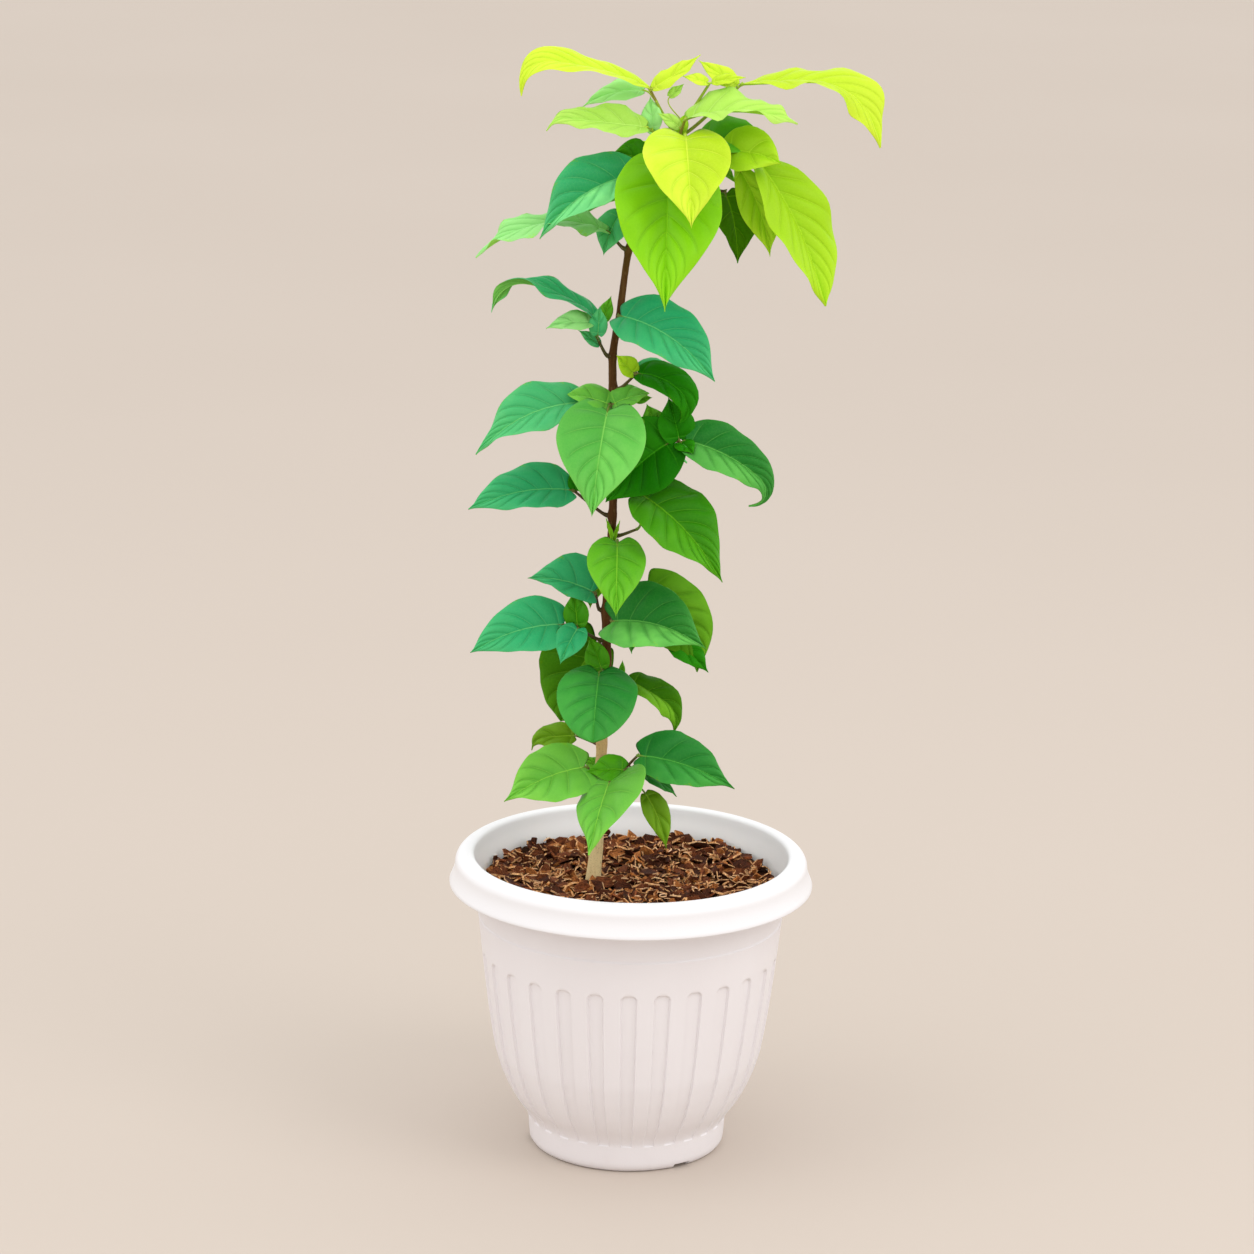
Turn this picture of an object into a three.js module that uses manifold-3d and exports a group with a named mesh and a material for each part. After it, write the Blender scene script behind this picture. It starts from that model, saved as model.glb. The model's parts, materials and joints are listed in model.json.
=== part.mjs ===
// A young bael tree in a round white fluted pot, in millimetres, with Z up.
// The origin is the centre of the pot's flat underside. The pot's camera side faces -Y, and +X is to
// its right.

import * as THREE from "three";
import { mergeVertices } from "three/addons/utils/BufferGeometryUtils.js";
import Module from "manifold-3d";

const wasm = await Module();
wasm.setup();

// Clearance between pieces that lie on or against each other.
const gap = 0.3;

// Pot.
const footRadius = 71.5;
const footHeight = 20;
const footBevel = 4;
const bandHeight = 171.6;
const bandInset = 0.7;
const bandRoot = 6;
const neckHeight = 188;
const rimRadius = 130;
const shoulderRadius = 126;
const shoulderHeight = 210;
const crestRadius = 118;
const throatRadius = 109.6;
const throatHeight = 206;
const mouthRadius = 113;
const mouthHeight = 215.6;
const potHeight = 218;
const skirtBottom = 195.5;
const skirtThickness = 2.4;
const rimThickness = 3.4;
const hollowWidth = 1.5;
const rimColumns = 40;
const wall = 3.2;
const floorThickness = 4;
const floorBevel = 4;
const flutes = 28;
const fluteShare = 0.5;
const fluteEdge = 0.35;
const fluteDepth = 1.4;
const fluteTop = 146.5;
const fluteStep = 0.6;
const drainHoles = 6;
const drainRadius = 5;
const drainCircle = 42;
const notchCount = 3;
const notchWidth = 13;
const notchHeight = 2;
const notchBearing = -57;

// The pot's outer wall below the rim, as [height, radius].
const outerWall = [
  [0, 66],
  [footBevel, 70.2],
  [footHeight, footRadius],
  [30, 76.4],
  [46, 86.8],
  [70, 95.6],
  [100, 100.8],
  [fluteTop, 106.2],
  [bandHeight, 108.7],
  [neckHeight, 109.7],
];

// Filling.
const soilTop = 186;
const soilGap = 0.42;
const barkLevel = 199;
const barkRelief = 3;
const barkRings = 6;
const barkColumns = 32;

// Trunk: its lean from the soil to the tip, as [height, x, y], and its taper.
const trunkLean = [
  [soilTop + gap, -27.8, -5],
  [230, -24.6, -5],
  [300, -22.3, -5],
  [361, -19.7, -4],
  [396, -21, -4],
  [453, -17.8, -5],
  [527, -17.6, -5],
  [580, -19.2, -4],
  [605, -15.5, -4],
  [654, -9.4, -5],
  [678, -2.3, -5],
  [709, 10.8, -5],
  [738, 24.5, -5],
];
const trunkFootRadius = 5.2;
const trunkMiddleRadius = 2.9;
const trunkTipRadius = 1.5;
const trunkMiddleHeight = 375;
const flareRadius = 2;
const flareHeight = 9;
const trunkSides = 8;
const trunkSteps = 24;
const trunkClear = 0.75;

// Leaves and twigs.
const twigRadius = 1.15;
const twigRootSwell = 1.12;
const twigClear = 0.34;
const kneeReach = 1.6;
const kneeShare = 0.06;
const bendShare = 0.2;
const stalkRadius = 0.9;
const stalkTipRadius = 0.45;
const leafWidest = 0.33;
const leafRows = 13;
const baseReach = 0.012;
const heartReach = 0.05;
const lobeReach = 0.1;
const outlineTaper = 1.65;
const leafFold = 12;
const leafLean = 38;
const leafThickness = 0.011;
const leastThickness = 0.4;
const tipHalfWidth = 0.3;
const stalkStub = 2;

// A leaf has a blade, [bearing, pitch, length, width] in degrees and millimetres, and the droop of its
// midrib from base to tip. Its stalk, [bearing, rise, length], leaves the twig at a share of its length,
// and a leaf without one sits on the twig. Turn rolls the blade on from where the light has set it, and
// full rounds it out toward its tip.
function leaf(blade, droop, { stalk = null, along = 1, turn = 0, full = 0 } = {}) {
  return { blade, droop, stalk, along, turn, full };
}

// The shoots that the front view shows: where each leaves the trunk, its twig as
// [bearing, rise, length], and its leaves.
const frontShoots = {
  tier_1_left_shoot: [276, [-135, 34, 16], [leaf([-153, -1, 66, 44], 30)]],
  tier_1_right_shoot: [
    270,
    [-33, 40, 41],
    [
      leaf([-5, -3, 74, 46], 30),
      leaf([-122, -30, 68, 47], 30, { stalk: [-73, 28, 22], along: 0.35 }),
      leaf([-12, 41, 22, 17], 10, { stalk: [-97, 27, 9], along: 0.1, turn: -40 }),
      leaf([15, -21, 30, 16], 30, { stalk: [10, -35, 14], along: 0.7 }),
      leaf([-25, -51, 43, 22], 30, { stalk: [-14, -36, 20], along: 0.5 }),
    ],
  ],
  tier_1_back_shoot: [299, [144, 6, 22], [leaf([170, -3, 34, 21], 40, { turn: 15 })]],
  tier_2_front_shoot: [
    355,
    [-107, 4, 12],
    [
      leaf([-94, -20, 63, 57], 35, { stalk: [-107, 5, 6], full: 0.6 }),
      leaf([150, 70, 22, 18], 10, { along: 0.9, turn: 40 }),
    ],
  ],
  tier_2_right_shoot: [
    349,
    [-18, -8, 16],
    [leaf([-26, -14, 56, 30], 55, { turn: 15 }), leaf([80, 70, 12, 5], 0, { along: 0.6 })],
  ],
  tier_2_back_shoot: [363, [104, 12, 24], [leaf([168, -47, 66, 54], 30, { turn: 30 })]],
  tier_3_left_shoot: [397, [176, 58, 14], [leaf([-170, 30, 49, 35], 35, { turn: 14 })]],
  tier_3_low_left_shoot: [
    376,
    [-154, 24, 25],
    [
      leaf([-159, 5, 72, 43], 35, { stalk: [174, 14, 10], turn: 12 }),
      leaf([121, 80, 25, 19], 10, { turn: 20 }),
      leaf([-121, -33, 31, 23], 20, { stalk: [-89, 15, 5] }),
    ],
  ],
  tier_3_right_shoot: [
    392,
    [-25, 30, 14],
    [
      leaf([-18, -29, 75, 44], 55, { stalk: [32, 39, 29] }),
      leaf([-25, 12, 73, 56], 42, { stalk: [-103, -8, 14], along: 0.6, turn: -10 }),
    ],
  ],
  tier_4_front_shoot: [
    445,
    [-76, 22, 19],
    [
      leaf([-90, -29, 62, 42], 30),
      leaf([-150, 72, 14, 6], 0, { along: 0.45 }),
      leaf([-20, 72, 13, 6], 0, { along: 0.55 }),
    ],
  ],
  tier_4_right_shoot: [
    452,
    [-21, 18, 20],
    [leaf([-34, -20, 87, 52], 35, { stalk: [-60, 78, 26] })],
  ],
  tier_5_left_shoot: [
    466,
    [-174, 33, 33],
    [leaf([-165, 9, 75, 43], 35), leaf([134, 65, 14, 10], 10, { along: 0.9 })],
  ],
  tier_5_right_shoot: [
    528,
    [-15, -7, 50],
    [
      leaf([-7, 2, 75, 44], 86, { turn: -8 }),
      leaf([130, 70, 27, 26], 10, { along: 0.95 }),
      leaf([-175, -32, 62, 56], 25, { stalk: [-150, 0, 5], along: 0.9, turn: 26 }),
      leaf([148, 72, 20, 14], 10, { along: 0.6 }),
    ],
  ],
  tier_5_front_shoot: [
    545,
    [-100, 10, 11],
    [
      leaf([-100, -35, 76, 62], 30, { stalk: [-101, 10, 11] }),
      leaf([-175, 26, 28, 16], 20, { turn: 17 }),
      leaf([5, 30, 24, 13], 20, { turn: -25 }),
      leaf([5, 21, 12, 7], 20, { stalk: [24, 5, 19], turn: -30 }),
    ],
  ],
  tier_5_upper_left_shoot: [551, [-164, -13, 19], [leaf([-164, 3, 85, 45], 45)]],
  tier_6_right_shoot: [
    556,
    [-25, 35, 21],
    [leaf([-18, 8, 56, 34], 95, { turn: 8 }), leaf([-166, 45, 18, 15], 0, { turn: 38 })],
  ],
  tier_6_left_shoot: [
    579,
    [-150, 49, 21],
    [
      leaf([-175, 42, 78, 31], 75, { stalk: [59, 78, 11], turn: -15 }),
      leaf([39, 76, 18, 11], 10, { stalk: [60, 47, 14], along: 0.9 }),
      leaf([-170, 2, 32, 14], 30, { stalk: [-131, 60, 14], along: 0.85 }),
      leaf([-119, 80, 18, 12], 10, { stalk: [-77, 43, 9], along: 0.75 }),
      leaf([180, 39, 18, 10], 10, { along: 0.5, turn: 17 }),
    ],
  ],
  tier_6_front_shoot: [597, [-87, 46, 18], [leaf([-30, -4, 86, 50], 45)]],
  tier_7_left_shoot: [
    654,
    [-167, 40, 17],
    [
      leaf([-169, 16, 97, 38], 58, { stalk: [-114, 19, 7], turn: -15 }),
      leaf([-142, -49, 29, 24], 30, { stalk: [42, 65, 15], along: 0.9 }),
    ],
  ],
  tier_7_upper_left_shoot: [
    690,
    [-140, 50, 12],
    [
      leaf([-156, -5, 84, 48], 50, { stalk: [-116, 60, 9] }),
      leaf([-168, 43, 16, 15], 20, { stalk: [70, 55, 17], turn: 40 }),
    ],
  ],
  tier_8_low_front_shoot: [697, [-60, 43, 30], [leaf([-91, -36, 115, 76], 30, { turn: 8 })]],
  tier_8_low_right_shoot: [701, [12, -8, 50], [leaf([42, -61, 53, 34], 30, { turn: 40 })]],
  tier_8_right_shoot: [
    716,
    [-4, 4, 48],
    [
      leaf([-22, -46, 116, 60], 30, { stalk: [0, 11, 12], turn: 10, full: 0.3 }),
      leaf([-11, 2, 57, 44], 45, { stalk: [9, 75, 15], along: 0.5 }),
      leaf([0, -55, 66, 26], 30, { stalk: [0, -80, 8], turn: 50 }),
    ],
  ],
  tier_8_front_shoot: [723, [-71, 26, 34], [leaf([-86, -24, 84, 66], 30, { turn: -8 })]],
  tier_8_left_shoot: [
    727,
    [-172, 33, 22],
    [
      leaf([-170, 18, 70, 33], 40, { stalk: [-90, 8, 7], turn: -8 }),
      leaf([107, 80, 20, 14], 10, { along: 0.75, turn: 20 }),
      leaf([168, 36, 23, 10], 10, { along: 0.55 }),
    ],
  ],
  tier_8_middle_shoot: [730, [-65, 47, 22], [leaf([-15, 20, 78, 42], 40, { turn: 20 })]],
  tier_8_upper_left_shoot: [
    734,
    [-177, 57, 36],
    [
      leaf([-170, 30, 91, 38], 62, { turn: -20, full: 0.5 }),
      leaf([0, 38, 40, 17], -10),
      leaf([175, 3, 44, 22], 40, { stalk: [133, 25, 14], along: 0.75 }),
    ],
  ],
  tier_8_far_right_shoot: [
    735,
    [-1, 39, 54],
    [leaf([-6, 7, 109, 46], 64, { turn: 15, full: 0.4 }), leaf([156, 28, 26, 11], 0, { along: 0.95 })],
  ],
  tier_8_top_shoot: [
    null,
    [-9, 59, 37],
    [
      leaf([-174, 24, 11, 9], 0),
      leaf([-5, 15, 21, 9], 10),
      leaf([5, 66, 22, 10], 10, { stalk: [-170, 60, 14], along: 0.1 }),
    ],
  ],
};

// The shoots behind, which fill the crown's far side: [height, bearing of the hanging leaf, its length,
// and the bearing of a wing leaf beside it].
const rearShoots = {
  tier_1_rear_shoot: [267, 84, 52, 32],
  tier_2_rear_shoot: [326, 84, 56, 36],
  tier_3_rear_shoot: [378, 70, 58, 36],
  tier_4_rear_shoot: [416, 98, 56, 148],
  tier_5_rear_shoot: [508, 84, 66, 30],
  tier_6_rear_shoot: [536, 100, 58, 152],
  tier_7_rear_shoot: [683, 66, 66, 146],
  tier_8_rear_shoot: [707, 80, 72, 30],
};
const rearTwig = 20;
const rearRise = 14;
const rearPitch = -26;
const rearDroop = 34;
const rearShape = 0.62;
const rearSpread = 6;
const wingShare = 0.82;
const wingPitch = 2;
const wingLean = 15;
const wingStalk = 8;
const budShare = 0.4;
const budPitch = 40;

// Colours.
const white = { color: 0xece9ea, roughness: 0.32, metalness: 0 };
const earth = { color: 0x2c1c13, roughness: 0.95, metalness: 0 };
const bark = { color: 0x5b3a24, roughness: 0.9, metalness: 0 };
const stemBrown = { color: 0x6a5a44, roughness: 0.75, metalness: 0 };
const darkLeaf = { color: 0x2c7a35, roughness: 0.5, metalness: 0 };
const midLeaf = { color: 0x3d9a2e, roughness: 0.5, metalness: 0 };
const limeLeaf = { color: 0x9bcf1f, roughness: 0.5, metalness: 0 };

const up = new THREE.Vector3(0, 0, 1);
const rad = THREE.MathUtils.degToRad;

// The unit direction at a bearing and a rise.
function heading(bearing, rise) {
  const level = Math.cos(rad(rise));
  return new THREE.Vector3(
    Math.cos(rad(bearing)) * level,
    Math.sin(rad(bearing)) * level,
    Math.sin(rad(rise)),
  );
}

// A repeatable number from 0 to 1 for each index.
function chance(index) {
  const wave = Math.sin(index * 127.1 + 311.7) * 43758.5453;
  return wave - Math.floor(wave);
}

function mix(a, b, share) {
  return a + (b - a) * share;
}

// A closed mesh skinned over rings of points, each ring counterclockwise about the way they run.
function skin(rings) {
  const count = rings[0].length;
  const corners = rings.flat().flatMap((p) => [p.x, p.y, p.z]);
  const faces = [];
  for (let i = 0; i + 1 < rings.length; i++) {
    for (let j = 0; j < count; j++) {
      const here = i * count + j;
      const next = i * count + ((j + 1) % count);
      faces.push(here, next, next + count, here, next + count, here + count);
    }
  }
  const last = (rings.length - 1) * count;
  for (let j = 1; j + 1 < count; j++) {
    faces.push(0, j + 1, j, last, last + j, last + j + 1);
  }
  const geometry = new THREE.BufferGeometry();
  geometry.setAttribute("position", new THREE.Float32BufferAttribute(corners, 3));
  geometry.setIndex(faces);
  return geometry;
}

// A solid for joining and cutting.
function solid(geometry) {
  const bare = geometry.clone();
  bare.deleteAttribute("normal");
  bare.deleteAttribute("uv");
  const merged = mergeVertices(bare, 1e-4);
  return new wasm.Manifold(
    new wasm.Mesh({
      numProp: 3,
      vertProperties: merged.attributes.position.array,
      triVerts: new Uint32Array(merged.index.array),
    }),
  );
}

// The geometry of a joined or cut solid.
function shape(body) {
  const mesh = body.getMesh();
  const geometry = new THREE.BufferGeometry();
  geometry.setAttribute("position", new THREE.Float32BufferAttribute(mesh.vertProperties, 3));
  geometry.setIndex(Array.from(mesh.triVerts));
  geometry.computeVertexNormals();
  return geometry;
}

function piece(name, geometry, finish) {
  const mesh = new THREE.Mesh(geometry, new THREE.MeshStandardMaterial(finish));
  mesh.name = name;
  return mesh;
}

// A body turned about the upright axis from a profile of [radius, height] that runs from the axis at
// the bottom to the axis at the top.
function turned(profile, columns) {
  const line = profile.map(([radius, height]) => new THREE.Vector2(radius, height));
  return solid(new THREE.LatheGeometry(line, columns).rotateX(Math.PI / 2));
}

// The outer wall's radius at a height.
function wallRadius(height) {
  const above = outerWall.findIndex(([level]) => level >= height);
  if (above < 1) return outerWall[0][1];
  const [z0, r0] = outerWall[above - 1];
  const [z1, r1] = outerWall[above];
  return mix(r0, r1, (height - z0) / (z1 - z0));
}

// One ring of the outer wall, with a sunk panel in each flute where the flutes run.
function wallRing(height, fluted) {
  const ring = [];
  const pitch = 360 / flutes;
  const half = (pitch * fluteShare) / 2;
  const inner = half - fluteEdge;
  for (let i = 0; i < flutes; i++) {
    for (const [offset, sunk] of [[-half, 0], [-inner, 1], [inner, 1], [half, 0]]) {
      const radius = wallRadius(height) - (fluted ? sunk * fluteDepth : 0);
      const turn = rad(-90 + i * pitch + offset);
      ring.push(new THREE.Vector3(radius * Math.cos(turn), radius * Math.sin(turn), height));
    }
  }
  return ring;
}

// The fluted body, from the underside to the band below the rim.
function flutedBody() {
  const levels = outerWall.map(([height]) => height);
  const panel = levels.filter((height) => height > footHeight && height < fluteTop);
  const rings = [0, footBevel, footHeight].map((height) => wallRing(height, false));
  rings.push(wallRing(footHeight + fluteStep, true));
  panel.forEach((height) => rings.push(wallRing(height, true)));
  rings.push(wallRing(fluteTop - fluteStep, true));
  rings.push(wallRing(fluteTop, false), wallRing(bandHeight, false));
  return solid(skin(rings));
}

// The band and the rolled rim, hollow under its skirt: the skirt flares out toward its edge, and an
// arc rounds the shoulder over to the crest.
function rim() {
  const band = wallRadius(bandHeight) - bandInset;
  const neck = wallRadius(neckHeight);
  const shoulder = [0, 30, 60, 90].map((turn) => [
    mix(crestRadius, shoulderRadius, Math.cos(rad(turn))),
    mix(shoulderHeight, potHeight, Math.sin(rad(turn))),
  ]);
  return turned(
    [
      [0, bandHeight - bandRoot],
      [band - bandInset, bandHeight - bandRoot],
      [band, bandHeight],
      [neck, neckHeight],
      [neck + hollowWidth, shoulderHeight],
      [crestRadius, potHeight - rimThickness],
      [shoulderRadius - skirtThickness, shoulderHeight],
      [rimRadius - skirtThickness, skirtBottom],
      [rimRadius, skirtBottom],
      [mix(shoulderRadius, rimRadius, 0.4), mix(shoulderHeight, skirtBottom, 0.6)],
      ...shoulder,
      [0, potHeight],
    ],
    rimColumns,
  );
}

// The room inside the pot, up through the mouth.
const lowProfile = [
  [footRadius - wall - floorBevel, floorThickness],
  [footRadius - wall, floorThickness + floorBevel],
  [footRadius - wall, footHeight],
  [wallRadius(34) - wall - fluteDepth / 2, 34],
];
const highProfile = [60, 100, neckHeight].map((height) => [wallRadius(height) - wall, height]);

function room() {
  return turned(
    [
      [0, floorThickness],
      ...lowProfile,
      ...highProfile,
      [throatRadius, throatHeight],
      [mouthRadius, mouthHeight],
      [crestRadius, potHeight + gap],
      [0, potHeight + gap],
    ],
    rimColumns,
  );
}

function drains() {
  const cutters = [];
  for (let i = 0; i < drainHoles; i++) {
    const hole = new THREE.CylinderGeometry(drainRadius, drainRadius, floorThickness * 3, 8);
    const place = heading((360 * i) / drainHoles, 0).multiplyScalar(drainCircle);
    cutters.push(solid(hole.rotateX(Math.PI / 2).translate(place.x, place.y, 0)));
  }
  return wasm.Manifold.union(cutters);
}

// The small cuts in the foot's lower edge that let water out.
function footNotches() {
  const cutters = [];
  for (let i = 0; i < notchCount; i++) {
    const cut = new THREE.BoxGeometry(footRadius, notchWidth, notchHeight * 2);
    cut.translate(footRadius * Math.SQRT2, 0, 0);
    cutters.push(solid(cut.rotateZ(rad(notchBearing + (360 * i) / notchCount))));
  }
  return wasm.Manifold.union(cutters);
}

function pot() {
  const body = flutedBody().add(rim());
  return shape(body.subtract(room()).subtract(drains()).subtract(footNotches()));
}

function soil() {
  const top = wallRadius(soilTop) - wall - soilGap;
  const side = [...lowProfile, ...highProfile].filter(([, height]) => height < soilTop);
  return shape(
    turned(
      [
        [0, floorThickness + gap],
        ...side.map(([radius, height]) => [radius - soilGap, Math.max(height, floorThickness + gap)]),
        [top, soilTop],
        [0, soilTop],
      ],
      rimColumns,
    ),
  );
}

// The trunk's middle line, and its radius at a height.
const trunkLine = new THREE.CatmullRomCurve3(
  trunkLean.map(([height, x, y]) => new THREE.Vector3(x, y, height)),
);
const trunkFoot = trunkLean[0][0];
const trunkTip = trunkLean.at(-1)[0];

function trunkRadius(height) {
  const flare = flareRadius * Math.exp(-(height - trunkFoot) / flareHeight);
  if (height < trunkMiddleHeight) {
    const share = (height - trunkFoot) / (trunkMiddleHeight - trunkFoot);
    return mix(trunkFootRadius, trunkMiddleRadius, share) + flare;
  }
  const share = (height - trunkMiddleHeight) / (trunkTip - trunkMiddleHeight);
  return mix(trunkMiddleRadius, trunkTipRadius, share ** 3);
}

// The share of the trunk's middle line that lies below a height.
function trunkShare(height) {
  let low = 0;
  let high = 1;
  for (let i = 0; i < 40; i++) {
    const middle = (low + high) / 2;
    if (trunkLine.getPoint(middle).z < height) low = middle;
    else high = middle;
  }
  return low;
}

// A tapering limb along a line of points, whose first ring faces along a given direction.
function limb(points, radii, sides, first) {
  let side = Math.abs(first.z) > 0.9 ? new THREE.Vector3(1, 0, 0) : up.clone();
  const rings = points.map((point, i) => {
    const along = i === 0 ? first : points[Math.min(i + 1, points.length - 1)].clone();
    if (i > 0) along.sub(points[i - 1]).normalize();
    side = side.clone().addScaledVector(along, -side.dot(along)).normalize();
    const across = along.clone().cross(side);
    const ring = [];
    for (let j = 0; j < sides; j++) {
      const turn = (2 * Math.PI * j) / sides;
      const corner = point.clone().addScaledVector(side, radii[i] * Math.cos(turn));
      ring.push(corner.addScaledVector(across, radii[i] * Math.sin(turn)));
    }
    return ring;
  });
  return skin(rings);
}

function trunk() {
  const points = trunkLine.getPoints(trunkSteps);
  const radii = points.map((point) => trunkRadius(point.z));
  return limb(points, radii, trunkSides, up.clone());
}

// The layer of bark chips, with a hole where the trunk comes through.
function barkMulch() {
  const edge = (wallRadius(soilTop) - wall) * Math.cos(Math.PI / rimColumns) - gap;
  const rings = [soilTop + gap, barkLevel].map((height) => barkRing(edge, height, 0, 0));
  for (let i = 1; i < barkRings; i++) {
    rings.push(barkRing(edge * (1 - i / barkRings), barkLevel, i, barkRelief));
  }
  return shape(solid(skin(rings)).subtract(trunkClearance()));
}

function barkRing(radius, height, row, relief) {
  const ring = [];
  for (let j = 0; j < barkColumns; j++) {
    const turn = (2 * Math.PI * (j + (row % 2) / 2)) / barkColumns;
    const rise = relief * (2 * chance(row * barkColumns + j) - 0.7);
    ring.push(new THREE.Vector3(radius * Math.cos(turn), radius * Math.sin(turn), height + rise));
  }
  return ring;
}

// The trunk's foot, grown by the gap and carried down through the layer's underside.
function trunkClearance() {
  const points = trunkLine.getPoints(trunkSteps).slice(0, 3);
  points.unshift(points[0].clone().setZ(trunkFoot - 1));
  const radii = points.map((point) => trunkRadius(Math.max(point.z, trunkFoot)) + trunkClear);
  return solid(limb(points, radii, trunkSides, up.clone()));
}

// The outline of a blade: its half width at a share of its length, as a share of the greatest.
function outline(share, heart, full) {
  if (share < leafWidest) {
    const back = (leafWidest - share) / (leafWidest + baseReach + heartReach * heart);
    return Math.sqrt(1 - back * back);
  }
  const out = (share - leafWidest) / (1 - leafWidest);
  return (1 - out * out) ** (outlineTaper - full);
}

// The points and directions along a blade's midrib.
function midrib(foot, blade, droop, steps) {
  const [bearing, pitch, length] = blade;
  const points = [foot.clone()];
  const ways = [heading(bearing, pitch)];
  for (let i = 1; i <= steps; i++) {
    const way = heading(bearing, pitch - (droop * i) / steps);
    const middle = way.clone().add(ways[i - 1]).normalize();
    points.push(points[i - 1].clone().addScaledVector(middle, length / steps));
    ways.push(way);
  }
  return { points, ways };
}

// One leaf as a single skin: what leads to the blade's foot, as [point, direction, radius] stations,
// and the blade, a thin folded plate that is heart shaped at its base and drawn out at its tip.
function leafGeometry(stations, foot, { blade, droop, turn, full }) {
  const [bearing, , length, width] = blade;
  const steps = THREE.MathUtils.clamp(Math.round(length / leafRows), 3, 6);
  const heart = THREE.MathUtils.clamp((width / length - 0.4) * 2, 0.2, 0.9);
  const half = Math.max(leastThickness, length * leafThickness) / 2;
  const roll = rad(turn - leafLean * Math.cos(rad(bearing)));
  const { points, ways } = midrib(foot, blade, droop, steps);
  const level = heading(bearing - 90, 0);
  const frames = ways.map((way) => {
    const upright = level.clone().cross(way);
    const side = level.clone().multiplyScalar(Math.cos(roll)).addScaledVector(upright, Math.sin(roll));
    return { side, normal: side.clone().cross(way) };
  });
  const rings = stations.map((station) => stalkRing(station, ways[0], frames[0]));
  points.forEach((point, i) => {
    const share = i / steps;
    const { side, normal } = frames[i];
    const reach = Math.max(tipHalfWidth, (width / 2) * outline(share, heart, full));
    const back = heart * lobeReach * length * Math.max(0, 1 - share / leafWidest) ** 2;
    const corner = (across, lift) =>
      point
        .clone()
        .addScaledVector(side, across * reach * Math.cos(rad(leafFold)))
        .addScaledVector(normal, Math.abs(across) * reach * Math.sin(rad(leafFold)) + lift)
        .addScaledVector(ways[i], -Math.abs(across) * back);
    rings.push([
      ...[-1, 0, 1].map((across) => corner(across, half)),
      ...[1, 0, -1].map((across) => corner(across, -half)),
    ]);
  });
  return skin(rings);
}

// A six-sided ring of a stalk or twig, turned smoothly into the frame in which the blade starts.
function stalkRing([point, axis, radius], way, { side, normal }) {
  const swing = new THREE.Quaternion().setFromUnitVectors(way, axis);
  const across = side.clone().applyQuaternion(swing);
  const over = normal.clone().applyQuaternion(swing);
  return [150, 90, 30, -30, -90, -150].map((turn) =>
    point
      .clone()
      .addScaledVector(across, radius * Math.cos(rad(turn)))
      .addScaledVector(over, radius * Math.sin(rad(turn))),
  );
}

// The stations at a stalk's root and just before the blade's foot.
function stalkStations(root, foot, [bearing, pitch]) {
  const along = foot.clone().sub(root).normalize();
  const bend = along.clone().add(heading(bearing, pitch)).normalize();
  const before = foot.clone().addScaledVector(bend, -stalkTipRadius);
  return [[root, along, stalkRadius], [before, bend, stalkTipRadius]];
}

// A shoot: its twig leaves the trunk square to it, just clear, and bends to its own rise. The first
// leaf ends the twig, and the others stand on it.
function shoot(height, [bearing, rise, length], leaves) {
  const share = height === null ? 1 : trunkShare(height);
  const base = trunkLine.getPoint(share);
  const trunkWay = trunkLine.getTangent(share);
  let first = heading(bearing, 0);
  first.addScaledVector(trunkWay, -first.dot(trunkWay)).normalize();
  let clear = trunkRadius(base.z) + twigClear;
  if (height === null) {
    first = trunkWay;
    clear = gap;
  }
  const start = base.clone().addScaledVector(first, clear);
  const tip = base.clone().addScaledVector(heading(bearing, rise), length);
  const knee = start.clone().addScaledVector(first, kneeReach).lerp(tip, kneeShare);
  const line = new THREE.CatmullRomCurve3([start, knee, tip]);
  const twig = [
    [start, first, twigRadius * twigRootSwell],
    [line.getPointAt(bendShare), line.getTangentAt(bendShare), twigRadius],
  ];
  const bodies = leaves.map((spec, i) => {
    const root = line.getPointAt(spec.along);
    const [way, pitch, reach] = spec.stalk ?? [spec.blade[0], spec.blade[1], stalkStub];
    const foot = root.clone().addScaledVector(heading(way, pitch), reach);
    const stalk = stalkStations(root, foot, spec.blade);
    return solid(leafGeometry(i === 0 ? [...twig, ...stalk] : stalk, foot, spec));
  });
  return shape(wasm.Manifold.union(bodies));
}

// A shoot on the crown's far side: a hanging leaf, a wing leaf and a bud, varied by a seeded rule.
function rearShoot([height, bearing, length, wing], index) {
  const draw = chance(index + 3);
  const hanging = [bearing + mix(-rearSpread, rearSpread, draw), rearPitch, length, length * rearShape];
  const side = length * wingShare;
  const spread = [wing, wingPitch - rearSpread * draw, side, side * rearShape];
  const bud = length * budShare;
  const leaves = [
    leaf(hanging, rearDroop),
    leaf(spread, rearDroop, {
      stalk: [wing, rearRise, wingStalk],
      along: 0.7,
      turn: (leafLean + wingLean) * Math.cos(rad(wing)),
    }),
    leaf([2 * bearing - wing, budPitch, bud, bud * rearShape], rearDroop, { along: 0.85 }),
  ];
  return shoot(height, [bearing, rearRise, rearTwig], leaves);
}

const vessel = new THREE.Group();
vessel.add(piece("pot", pot(), white));
vessel.add(piece("potting_soil", soil(), earth));
vessel.add(piece("bark_mulch", barkMulch(), bark));

const plant = new THREE.Group();
plant.add(piece("trunk", trunk(), stemBrown));
Object.entries(frontShoots).forEach(([name, [height, twig, leaves]]) => {
  const tier = Number(name.split("_")[1]);
  const finish = tier > 7 ? limeLeaf : tier % 2 ? midLeaf : darkLeaf;
  plant.add(piece(name, shoot(height, twig, leaves), finish));
});
Object.entries(rearShoots).forEach(([name, spec], index) => {
  plant.add(piece(name, rearShoot(spec, index), darkLeaf));
});

const pottedTree = new THREE.Group();
pottedTree.add(vessel, plant);

export default pottedTree;
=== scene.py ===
# A young bael tree in a round white fluted pot: its looks, built over the frame.
# Lengths in this script are millimetres and angles are degrees, and meshes are made in metres. The
# origin is the centre of the pot's underside, Z is up, and the camera stands toward -Y.

import json
import math
import random

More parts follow.
